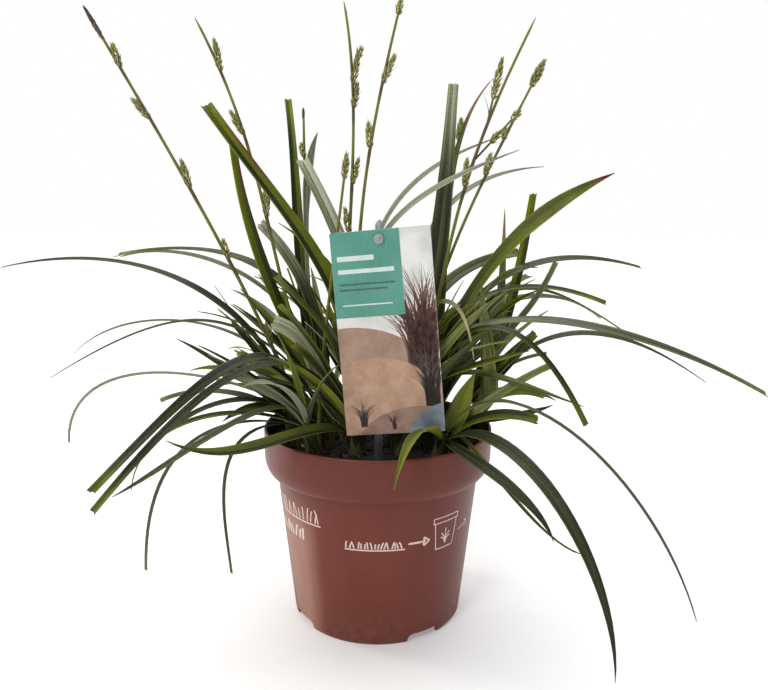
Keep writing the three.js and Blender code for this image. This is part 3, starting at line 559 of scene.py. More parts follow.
# %% Pot: print
fine_row = grass_strokes(18, 69.4, 8.2, 2.6, 3) + [[(-18, 68.4), (18, 68.4)]]
bold_row = grass_strokes(12, 56.5, 7.6, 3.4, 4)
middle_row = grass_strokes(15.5, 59.6, 4.2, 1.9, 5) + [[(-16, 58.8), (16, 58.8)]]
arrow = [[(-6, 61.6), (4, 61.6)]]
arrow_head = [[(3, 64), (6.4, 61.6), (3, 59.2)], [(3, 59.2), (3, 64)]]
pot_outline = [[(-9, 73), (9, 73), (9, 70), (-9, 70), (-9, 73)]]
pot_outline += [[(-8, 70), (-6.2, 54.5), (6.2, 54.5), (8, 70)]]
tuft = [arc_points((-4.4, 57), 4.2, 0, 75), arc_points((4.4, 57), 4.2, 180, 105), [(0, 57), (0, 66)]]
tuft += [arc_points((-8.4, 57), 8.4, 0, 50), arc_points((8.4, 57), 8.4, 180, 130)]
second_arrow = [[(-5, 61), (3, 63)], [(0.8, 65), (4, 63.2), (1.8, 60.4)]]
# each mark's place round the pot in degrees, its lines and the width of its strokes
pot_marks = (
    (220, fine_row, 0.75), (212, bold_row, 1.5), (269, middle_row, 0.8), (293.5, arrow, 1.2),
    (293.5, arrow_head, 1.1), (311.3, pot_outline, 0.6), (311.3, tuft, 0.7), (328, second_arrow, 0.6),
)
print_shape = bmesh.new()
for azimuth, lines, width in pot_marks:
    for points in lines:
        for start, end in zip(points, points[1:]):
            wrap_on_pot(ink_bar(print_shape, start, end, width), azimuth)

ink, tree, shader = new_material("pale_ink", (0.6, 0.42, 0.4))
place = node(tree, "TexCoord").outputs["Object"]
wear = grained(tree, place, 0.35, 0.16)["Mask"]
ink_colour = mixed(tree, wear, (0.78, 0.62, 0.58), (0.5, 0.32, 0.28))
plug(tree, shader, {"Base Color": ink_colour, "Roughness": 0.5})
pot_print = link("pot_print", mesh_from(print_shape, "pot_print"), [ink])
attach(pot_print, "root")
print("print faces:", len(pot_print.data.polygons))

# %% [markdown]
# ## Peat
#
# Potting peat is a dark, crumbly mix. A flat disc with a bump map looks like paint at this
# distance, so the surface itself is lumpy: rings spun round the axis and pushed up and down by
# fractal noise. Crumbs, bark bits and a few pale beads of perlite lie on it as real small stones.

# %% Peat: bed
SOIL_LEVEL = 101
SOIL_EDGE = 63.4
SOIL_RINGS = 34
SOIL_STEPS = 120
LUMP_SIZE = 7.0
LUMP_HEIGHT = 1.8


def soil_height(x, y):
    """The peat's slow rise and fall, in millimetres above the table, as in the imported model."""
    radius = math.hypot(x, y)
    lumps = 0.7 * math.sin(0.23 * x + 1) * math.cos(0.19 * y) + 0.4 * math.sin(0.41 * y + 0.3 * x)
    return SOIL_LEVEL + lumps + 1.2 * (1 - radius / RIM_RADIUS)


def crumbly_height(x, y):
    """The same with fine lumps, which fade out at the pot's wall."""
    rough = noise.fractal(Vector((x, y, 0)) / LUMP_SIZE, 0.7, 2.1, 5)
    edge = min(1, max(0, (SOIL_EDGE - math.hypot(x, y)) / 4))
    return soil_height(x, y) + LUMP_HEIGHT * rough * edge - 0.3


soil_profile = [(0, FLOOR_TOP + 0.3), (FOOT_RADIUS - 1.5, FLOOR_TOP + 0.3)]
soil_profile += [(BODY_TOP_RADIUS - POT_WALL - 0.4, COLLAR_BOTTOM + 1.3), (60.2, COLLAR_BOTTOM + 2.1)]
soil_profile += [(62.2, COLLAR_BOTTOM + 3.6), (63.5, COLLAR_BOTTOM + 6.6), (63.8, COLLAR_BOTTOM + 10)]
soil_profile += [(SOIL_EDGE * (1 - ring / SOIL_RINGS), SOIL_LEVEL) for ring in range(SOIL_RINGS + 1)]
soil_shape = bmesh.new()
spin_profile(soil_shape, soil_profile, SOIL_STEPS)
for vert in soil_shape.verts:
    if vert.co.z > (SOIL_LEVEL - 0.01) * MM:
        vert.co.z = crumbly_height(vert.co.x / MM, vert.co.y / MM) * MM
soil_mesh = mesh_from(soil_shape, "soil_bed")
soil_mesh.shade_smooth()
print("peat faces:", len(soil_mesh.polygons))

# %% Peat: crumbs and bits
CRUMB_COUNT = 1500
BARK_COUNT = 90
BEAD_COUNT = 26
SCATTER_RADIUS = 62.5
crumb_draw = random.Random(41)


def scatter_bits(name, count, sizes, widths, lift):
    """Small uneven lumps on the peat, each an ico sphere with its corners pushed about."""
    draw = crumb_draw
    shape = bmesh.new()
    for _ in range(count):
        radius = SCATTER_RADIUS * math.sqrt(draw.random())
        angle = draw.uniform(0, 2 * math.pi)
        x, y = radius * math.cos(angle), radius * math.sin(angle)
        size = sizes[0] + (sizes[1] - sizes[0]) * draw.random() ** 2.5
        lump = bmesh.ops.create_icosphere(shape, subdivisions=1, radius=size * MM)["verts"]
        for vert in lump:
            vert.co *= draw.uniform(0.7, 1.2)
        squash = (1, draw.uniform(*widths), draw.uniform(0.45, 0.9))
        turn = Matrix.Rotation(draw.uniform(0, math.pi), 3, "Z")
        turn = turn @ Matrix.Rotation(draw.uniform(-0.4, 0.4), 3, "X")
        placed(shape, lump, squash, turn, Vector((x, y, crumbly_height(x, y) + lift * size)) * MM)
    return mesh_from(shape, name)


crumb_mesh = scatter_bits("soil_crumbs", CRUMB_COUNT, (0.4, 2.4), (0.6, 1.5), 0.2)
bark_mesh = scatter_bits("soil_bark", BARK_COUNT, (0.8, 2.2), (0.15, 0.3), 0.5)
bead_mesh = scatter_bits("soil_perlite", BEAD_COUNT, (0.6, 1.6), (0.8, 1.1), 0.6)
bead_mesh.shade_smooth()
print("bits on the peat:", CRUMB_COUNT + BARK_COUNT + BEAD_COUNT)

# %% Peat: materials
def earth_material(name, dark, light, size_mm, roughness=0.92):
    material, tree, shader = new_material(name, dark)
    place = node(tree, "TexCoord").outputs["Object"]
    specks = grained(tree, place, 0.45, 0.2)
    colour = mixed(tree, clouded(tree, place, size_mm, 1.6), dark, light)
    colour = layered(tree, colour, (specks["Mask"], 0.35, (0.07, 0.045, 0.03)))
    normals = relief(tree, specks["Height"], 0.3)
    plug(tree, shader, {"Base Color": colour, "Roughness": roughness, "Normal": normals})
    return material


peat = earth_material("peat", (0.003, 0.0025, 0.002), (0.011, 0.008, 0.006), 6.0)
bark = earth_material("bark_bits", (0.07, 0.035, 0.018), (0.16, 0.09, 0.05), 1.5)
perlite = earth_material("perlite", (0.55, 0.53, 0.5), (0.75, 0.74, 0.72), 1.0, 0.8)
for name, mesh, material in (
    ("soil_bed", soil_mesh, peat), ("soil_crumbs", crumb_mesh, peat),
    ("soil_bark", bark_mesh, bark), ("soil_perlite", bead_mesh, perlite),
):
    piece = link(name, mesh, [material])
    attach(piece, "root")
    if name == "soil_bed":
        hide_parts("soil")
print("peat materials:", peat.name, bark.name, perlite.name)

# %% [markdown]
# ## Label stake
#
# The stake is moulded in clear grey plastic: a slim grooved blade, a bulb on top to push it in by,
# and a peg with a round head that holds the card. It is drawn flat in the label's own frame, where
# x is right and z is up, and then set in place with one matrix, so the card and the stake agree.
# What is behind it shows through a little, and low down among the leaves it is painted darker
# as painted shade.

# %% Label: place and measures
PEG_PLACE = (0.5, -34.5, 219)
label_place = Matrix.Scale(MM, 4) @ Matrix.Translation(PEG_PLACE)
for degrees, axis in ((-4, "X"), (-7, "Z")):
    label_place = label_place @ Matrix.Rotation(math.radians(degrees), 4, axis)
CARD_TILT = Matrix.Rotation(math.radians(-5), 4, "Y")
CARD_WIDTH = 52
CARD_HEIGHT = 106
CARD_THICKNESS = 0.8
CARD_CORNER = 3.5
PEG_FROM_LEFT = 25.5
PEG_FROM_TOP = 5
PEG_RADIUS = 1.6
PEG_HEAD_RADIUS = PEG_RADIUS + 1
STAKE_WIDTH = 4.4
STAKE_THICKNESS = 1.6
STAKE_TOP = 10
STAKE_BOTTOM = -134
STAKE_FRONT = CARD_THICKNESS / 2 + 0.3
NECK = 1.5  # half the stake's width behind the card's top
print("peg at mm:", [round(x / MM, 1) for x in label_place.translation])

# %% Label stake: shape
stake_shape = bmesh.new()
half = STAKE_WIDTH / 2
left_side = [(-0.9, STAKE_TOP - 0.6), (-half, STAKE_TOP - 2.6), (-half, STAKE_TOP - 4.6)]
left_side += [(-NECK, STAKE_TOP - 6), (-NECK, 3.5), (-half, 1.5), (-half, STAKE_BOTTOM + 8)]
right_side = [(-x, z) for x, z in reversed(left_side)]
outline = [*left_side, (0, STAKE_BOTTOM), *right_side, (0, STAKE_TOP)]
front = stake_shape.faces.new([stake_shape.verts.new((x, STAKE_FRONT, z)) for x, z in outline])
back = bmesh.ops.extrude_face_region(stake_shape, geom=[front])["geom"]
back_verts = [item for item in back if isinstance(item, bmesh.types.BMVert)]
bmesh.ops.translate(stake_shape, vec=(0, STAKE_THICKNESS, 0), verts=back_verts)
bmesh.ops.recalc_face_normals(stake_shape, faces=stake_shape.faces)
rounded(stake_shape, list(stake_shape.edges), 0.25, 2, clamp_overlap=True)
groove = bmesh.ops.create_cube(stake_shape, size=1)["verts"]
placed(stake_shape, groove, size=(1.1, 0.5, 120), place=(0, STAKE_FRONT - 0.1, -62))
bmesh.ops.create_cone(
    stake_shape, cap_ends=True, segments=24, radius1=PEG_RADIUS, radius2=PEG_RADIUS,
    depth=2 * STAKE_FRONT + 1.4, matrix=Matrix.Rotation(math.radians(90), 4, "X"),
)
# the peg's head and the dimple in its middle
for radius, segments, squash, stand in ((PEG_HEAD_RADIUS, 24, 0.45, 0.45), (0.9, 16, 0.5, 0.9)):
    ball = bmesh.ops.create_uvsphere(
        stake_shape, u_segments=segments, v_segments=segments // 2, radius=radius,
    )["verts"]
    ball_place = (0, -STAKE_FRONT - stand * PEG_HEAD_RADIUS, 0)
    placed(stake_shape, ball, size=(1, squash, 1), place=ball_place)
bmesh.ops.transform(stake_shape, matrix=label_place, verts=stake_shape.verts)
stake_mesh = mesh_from(stake_shape, "stake")
stake_mesh.shade_smooth()
stake_mesh.set_sharp_from_angle(angle=math.radians(35))
print("stake faces:", len(stake_mesh.polygons))

# %% Label stake: plastic
stake_plastic, tree, shader = new_material("stake_plastic", (0.2, 0.2, 0.2))
place = node(tree, "TexCoord").outputs["Object"]
clouds = clouded(tree, place, 6.0)
rise = maths(tree, "MULTIPLY", node(tree, "SeparateXYZ", {"Vector": place}).outputs[2], 1 / MM)
colour = mixed(tree, clouds, (0.26, 0.28, 0.28), (0.45, 0.47, 0.46))
# painted shade: darker low down, where the stake stands among the leaves
colour = mixed(tree, stretch(tree, rise, 190.0, 130.0), colour, (0.08, 0.075, 0.07))
plug(tree, shader, {
    "Base Color": colour, "Roughness": 0.3, "Transmission Weight": 0.25,
    "Normal": relief(tree, clouds, 0.05),
})
stake = link("stake", stake_mesh, [stake_plastic])
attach(stake, "root")
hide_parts("label_stake")
print("stake plastic nodes:", len(tree.nodes))

# %% [markdown]
# ## Label card
#
# The card is a thin sheet with rounded corners, hung a little askew on its peg. A circle per corner
# would do, but bevelling the four short edges of a flat box is quicker, and a second small bevel
# softens its rim. Its print is flat shapes of ink on the front: a teal panel with plain bars, and
# below it dunes with tufts of dry grass, cut to the card with straight bisecting planes.

# %% Label card: shape
CARD_LEFT = -PEG_FROM_LEFT
CARD_RIGHT = CARD_LEFT + CARD_WIDTH
CARD_TOP = PEG_FROM_TOP
CARD_BOTTOM = CARD_TOP - CARD_HEIGHT
card_place = label_place @ CARD_TILT

card_shape = bmesh.new()
bmesh.ops.create_cube(card_shape, size=1)
card_middle = ((CARD_LEFT + CARD_RIGHT) / 2, 0, (CARD_TOP + CARD_BOTTOM) / 2)
placed(card_shape, card_shape.verts, size=(CARD_WIDTH, CARD_THICKNESS, CARD_HEIGHT), place=card_middle)
corner_edges = [e for e in card_shape.edges if abs(e.verts[0].co.y - e.verts[1].co.y) > 0.1]
rounded(card_shape, corner_edges, CARD_CORNER, 8)
rim_edges = [e for e in card_shape.edges if abs(e.verts[0].co.y - e.verts[1].co.y) < 0.01]
rounded(card_shape, rim_edges, 0.15, 2)
bmesh.ops.transform(card_shape, matrix=card_place, verts=card_shape.verts)
card_mesh = mesh_from(card_shape, "card_blank")
print("card faces:", len(card_mesh.polygons))

# %% Label card: ink shapes
UPRIGHT = Matrix.Rotation(math.pi / 2, 3, "X")


def panel(shape, left, bottom, width, height):
    """A rectangle, in millimetres from the card's lower left corner."""
    centre = (CARD_LEFT + left + width / 2, 0, CARD_BOTTOM + bottom + height / 2)
    placed(shape, flat_grid(shape, 1, 1), (width, height, 1), UPRIGHT, centre)


def dune(shape, centre_x, centre_z, radius, flatten, tilt):
    """A wide ellipse: the part of it on the card reads as a hill of sand."""
    made = bmesh.ops.create_circle(shape, cap_ends=True, segments=72, radius=radius)["verts"]
    placed(shape, made, turn=UPRIGHT)
    turn = Matrix.Rotation(math.radians(tilt), 3, "Y")
    placed(shape, made, (1, 1, flatten), turn, (CARD_LEFT + centre_x, 0, CARD_BOTTOM + centre_z))


def grass_tuft(shape, base_x, base_z, height, count, spread, seed, width):
    """A fan of thin curved blades, their feet spread over a low mound."""
    draw = random.Random(seed)
    mound = 0.09 * height
    for _ in range(count):
        lean = draw.uniform(-spread, spread)
        length = height * draw.uniform(0.55, 1)
        off = draw.uniform(-1, 1)
        root = base_x + mound * off
        foot = base_z + mound * draw.uniform(0, 1) * (1 - off * off)
        for vert in flat_grid(shape, 1, 9):
            share = vert.co.y + 0.5
            across = vert.co.x * width * (1 - share ** 1.5) * min(1, 0.3 + 5 * share)
            sway = lean * share ** 1.8
            x = root + length * math.sin(sway) * share + across
            z = foot + length * math.cos(0.9 * sway) * share
            vert.co = (CARD_LEFT + x, 0, CARD_BOTTOM + z)

# %% Label card: ink on the card
PRINT_MARGIN = 0.12
INK_GAP = 0.02
INK_STEP = 0.012


def print_sheet(shape, layer):
    """Cuts flat ink to the card and lays it on the front, a higher layer over a lower one."""
    for normal, place in (
        ((1, 0, 0), (CARD_RIGHT - PRINT_MARGIN, 0, 0)), ((-1, 0, 0), (CARD_LEFT + PRINT_MARGIN, 0, 0)),
        ((0, 0, 1), (0, 0, CARD_TOP - PRINT_MARGIN)), ((0, 0, -1), (0, 0, CARD_BOTTOM + PRINT_MARGIN)),
    ):
        geometry = [*shape.verts, *shape.edges, *shape.faces]
        bmesh.ops.bisect_plane(shape, geom=geometry, plane_co=place, plane_no=normal, clear_outer=True)
    front = -CARD_THICKNESS / 2 - INK_GAP - INK_STEP * layer
    placed(shape, shape.verts, place=(0, front, 0))
    shape.normal_update()
    turned_away = [face for face in shape.faces if face.normal.y > 0]
    bmesh.ops.reverse_faces(shape, faces=turned_away)
    bmesh.ops.transform(shape, matrix=card_place, verts=shape.verts)

# %% Label card: colours
def card_ink(name, dark, light, size_mm):
    """Printed ink: two close tones in soft clouds, and a fine print raster."""
    material, tree, shader = new_material(name, dark)
    place = node(tree, "TexCoord").outputs["Object"]
    colour = mixed(tree, clouded(tree, place, size_mm, 1.2), dark, light)
    colour = layered(tree, colour, (grained(tree, place, 0.3, 0.5)["Mask"], 0.05, (1, 1, 1)))
    plug(tree, shader, {
        "Base Color": colour, "Roughness": 0.42, "Coat Weight": 0.15, "Coat Roughness": 0.2,
    })
    return material


card_white = card_ink("card_white", (0.62, 0.63, 0.6), (0.7, 0.7, 0.68), 4.0)
# each ink's darker and lighter tone, and the size of its clouds
INK_TONES = {
    "sky": ((0.62, 0.62, 0.58), (0.85, 0.84, 0.81), 14.0),
    "teal": ((0.055, 0.27, 0.2), (0.08, 0.32, 0.245), 20.0),
    "bar": ((0.62, 0.72, 0.68), (0.72, 0.8, 0.76), 4.0),
    "dark_bar": ((0.02, 0.1, 0.08), (0.03, 0.13, 0.1), 4.0),
    "far_sand": ((0.3, 0.17, 0.11), (0.42, 0.26, 0.18), 9.0),
    "sand": ((0.38, 0.2, 0.12), (0.54, 0.33, 0.21), 8.0),
    "near_sand": ((0.22, 0.115, 0.07), (0.36, 0.2, 0.13), 6.0),
    "shade": ((0.03, 0.018, 0.014), (0.1, 0.055, 0.04), 5.0),
    "water": ((0.1, 0.14, 0.17), (0.2, 0.25, 0.28), 6.0),
    "dry_grass": ((0.1, 0.035, 0.025), (0.24, 0.1, 0.075), 3.0),
}
card_inks = [card_ink("ink_" + name, *tones) for name, tones in INK_TONES.items()]
print("inks:", len(card_inks))

# %% Label card: the printed picture
TEAL_WIDTH = 36
TEAL_BOTTOM = 62
# each sheet's ink, its layer, its shape and that shape's measures
card_sheets = (
    ("sky", 0, panel, (0, 0, CARD_WIDTH, CARD_HEIGHT)),
    ("far_sand", 1, dune, (8, 20, 46, 0.8, 6)),
    ("dry_grass", 2, grass_tuft, (45, 27, 62, 110, 0.5, 5, 1.5)),
    ("dry_grass", 2, grass_tuft, (40, 32, 46, 60, 0.6, 6, 1.3)),
    ("sand", 3, dune, (16, 6, 40, 0.86, -8)),
    ("shade", 4, grass_tuft, (47, 10, 38, 60, 0.5, 9, 1.2)),
    ("near_sand", 5, dune, (44, -18, 42, 0.75, 12)),
    ("water", 6, dune, (56, -8, 26, 0.9, -20)),
    ("shade", 7, grass_tuft, (10, 4, 16, 26, 0.8, 11, 0.8)),
    ("dry_grass", 8, grass_tuft, (26, 2, 12, 22, 1.0, 12, 0.7)),
    ("teal", 9, panel, (0, TEAL_BOTTOM, TEAL_WIDTH, CARD_HEIGHT)),
    ("bar", 10, panel, (3, 91, 19, 2.6)),
    ("bar", 10, panel, (3, 84.6, 29, 2.2)),
    ("dark_bar", 10, panel, (3, 78.6, 29, 1)),
    ("dark_bar", 10, panel, (3, 75.8, 25, 1)),
    ("bar", 10, panel, (4, 68, 26, 0.7)),
)
ink_names = list(INK_TONES)
whole_print = bmesh.new()
for ink_name, layer, make_shape, measures in card_sheets:
    sheet = bmesh.new()
    make_shape(sheet, *measures)
    print_sheet(sheet, layer)
    for face in sheet.faces:
        face.material_index = ink_names.index(ink_name)
    sheet_mesh = mesh_from(sheet, "sheet")
    whole_print.from_mesh(sheet_mesh)
    bpy.data.meshes.remove(sheet_mesh)

card = link("card_blank", card_mesh, [card_white])
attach(card, "root")
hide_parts("label_card")
picture = link("card_print", mesh_from(whole_print, "card_print"), card_inks)
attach(picture, "root")
print("card print faces:", len(picture.data.polygons))

# %% [markdown]
# ## How a sedge leaf grows
#
# A blade leaves its sheath nearly upright, arches over and, if long enough, hangs. One Bezier curve
# describes that with a few numbers: the lean at the root, the fall at the tip, how sharp the crook
# between them is and how far the blade bows aside. The same rule, seeds and list of main leaves
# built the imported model, so the fine blades made here lie exactly where its plain ones are.

# %% Leaf rule: the curve
def arch_curve(root, tip, lean, fall, crook, bow):
    """The four control points of a leaf's arch."""
    chord = tip - root
    heading = math.atan2(chord.y, chord.x)

    def direction(angle, side):
        turn = heading + math.radians(side)
        level = math.sin(math.radians(angle))
        return Vector((level * math.cos(turn), level * math.sin(turn), math.cos(math.radians(angle))))

    bend = max(math.radians(abs(fall - lean)), 0.001)
    handle = crook * chord.length * (4 / 3) * math.tan(bend / 4) / (2 * math.sin(bend / 2))
    return root, root + direction(lean, bow) * handle, tip - direction(fall, -bow) * handle, tip


def curve_point(curve, t):
    a, b, c, d = curve
    u = 1 - t
    return a * u ** 3 + b * 3 * u * u * t + c * 3 * u * t * t + d * t ** 3


def curve_tangent(curve, t):
    a, b, c, d = curve
    u = 1 - t
    return ((b - a) * u * u + (c - b) * 2 * u * t + (d - c) * t * t).normalized()

# %% Leaf rule: width, fold and turn
FOOT_WIDTH = 0.25  # of a blade's full width, where it leaves its sheath
FOOT_FOLD = 28  # how steeply a blade's halves rise at its foot, in degrees
FOLD_LOSS = 14  # how much flatter they lie from the middle of its length on
FOOT_TURN = 0.35  # of the turn at its tip


def smooth(x):
    """Goes from 0 to 1 with level ends, and stays there outside them."""
    t = min(max(x, 0), 1)
    return t * t * (3 - 2 * t)


def width_share(t, end):
    """A blade's width at a share of its length, as a share of its full width."""
    base = FOOT_WIDTH + (1 - FOOT_WIDTH) * smooth(0.1 + t / 0.25)
    if end == "cut":
        return base * (1 - 0.32 * smooth((t - 0.4) / 0.6))
    if end == "narrow":
        return base * (1 - 0.5 * smooth((t - 0.4) / 0.6))
    if end == "blunt":
        return base * (1 - max(0, (t - 0.75) / 0.25) ** 1.5)
    return base * (1 - max(0, (t - 0.4) / 0.6) ** 1.7)


def leaf_section(leaf, curve, t):
    """The blade's middle, its sideways and upward directions, its width and its edges' lift."""
    heading = math.atan2(leaf["tip"].y - leaf["root"].y, leaf["tip"].x - leaf["root"].x)
    level = Vector((-math.sin(heading), math.cos(heading), 0))
    tangent = curve_tangent(curve, t)
    flat = (level - tangent * level.dot(tangent)).normalized()
    upper = tangent.cross(flat)
    roll = math.radians(leaf["turn"] * (FOOT_TURN + (1 - FOOT_TURN) * t))
    across = flat * math.cos(roll) + upper * math.sin(roll)
    normal = upper * math.cos(roll) - flat * math.sin(roll)
    width = leaf["width"] * width_share(t, leaf["end"])
    lift = width / 2 * math.tan(math.radians(FOOT_FOLD - FOLD_LOSS * smooth(t / 0.5)))
    return curve_point(curve, t), across, normal, width, lift

# %% Leaf rule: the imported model's corners
# a packed leaf has a row of corners for so many millimetres and so many degrees of bend
ROW_LENGTH = 45
ROW_BEND = 36
LEAST_ROWS = 3
MOST_ROWS = 8
LEAST_HALF_WIDTH = 0.45
LEAST_THICKNESS = 0.8


def leaf_arch(leaf):
    return arch_curve(leaf["root"], leaf["tip"], leaf["lean"], leaf["fall"], leaf["crook"], leaf["bow"])


def packed_corners(leaf):
    """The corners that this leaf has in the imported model, row by row, without its root."""
    curve = leaf_arch(leaf)
    length = (leaf["tip"] - leaf["root"]).length
    bend = abs(leaf["fall"] - leaf["lean"])
    rows = math.floor(length / ROW_LENGTH + bend / ROW_BEND + 0.5)
    rows = min(max(rows, LEAST_ROWS), MOST_ROWS)
    corners = []
    for row in range(1, rows + 1):
        t = row / rows
        if row == rows and leaf["end"] in {"point", "blunt"}:
            corners.append(curve_point(curve, t))
            break
        middle, across, normal, width, lift = leaf_section(leaf, curve, t)
        half = max(LEAST_HALF_WIDTH, width / 2)
        thick = max(LEAST_THICKNESS, 0.1 * leaf["width"]) / 2
        corners += [middle - across * half + normal * lift, middle - normal * thick]
        corners += [middle + across * half + normal * lift, middle + normal * thick]
    return corners

# %% Leaf rule: shoots
CLUMP_RADIUS = 47
SHEATH_HEIGHTS = (17, 22, 14)
SHEATH_TOP_RADIUS = 2.5
LEAF_ROOT_DEPTH = 2.6
# each ring's name, radius, places, first angle, bare places and leaves on a shoot
SHOOT_RINGS = (
    ("inner", 13, 4, 45, (), 9),
    ("middle", 30, 8, 22.5, (), 9),
    ("outer", CLUMP_RADIUS, 12, 15, (8, 9), 8),
)


def make_shoots():
    shoots = []
    for ring, radius, places, first_angle, bare, leaves in SHOOT_RINGS:
        standing = [place for place in range(places) if place not in bare]
        for number, place in enumerate(standing, 1):
            azimuth = math.radians(first_angle + 360 * place / places)
            lean = math.radians(4 + 12 * radius / CLUMP_RADIUS)
            out = Vector((math.cos(azimuth), math.sin(azimuth), 0))
            shoots.append({
                "name": f"shoot_{ring}_{number}", "ring": ring, "azimuth": azimuth, "leaves": leaves,
                "foot": out * radius + Vector((0, 0, SOIL_LEVEL)),
                "axis": out * math.sin(lean) + Vector((0, 0, math.cos(lean))),
                "height": SHEATH_HEIGHTS[len(shoots) % len(SHEATH_HEIGHTS)],
            })
    return shoots


def leaf_root(shoot, heading):
    side = Vector((math.cos(heading), math.sin(heading), 0))
    sheath_top = shoot["foot"] + shoot["axis"] * (shoot["height"] - LEAF_ROOT_DEPTH)
    return sheath_top + side * 0.4 * SHEATH_TOP_RADIUS


shoots = make_shoots()
print("shoots:", len(shoots))
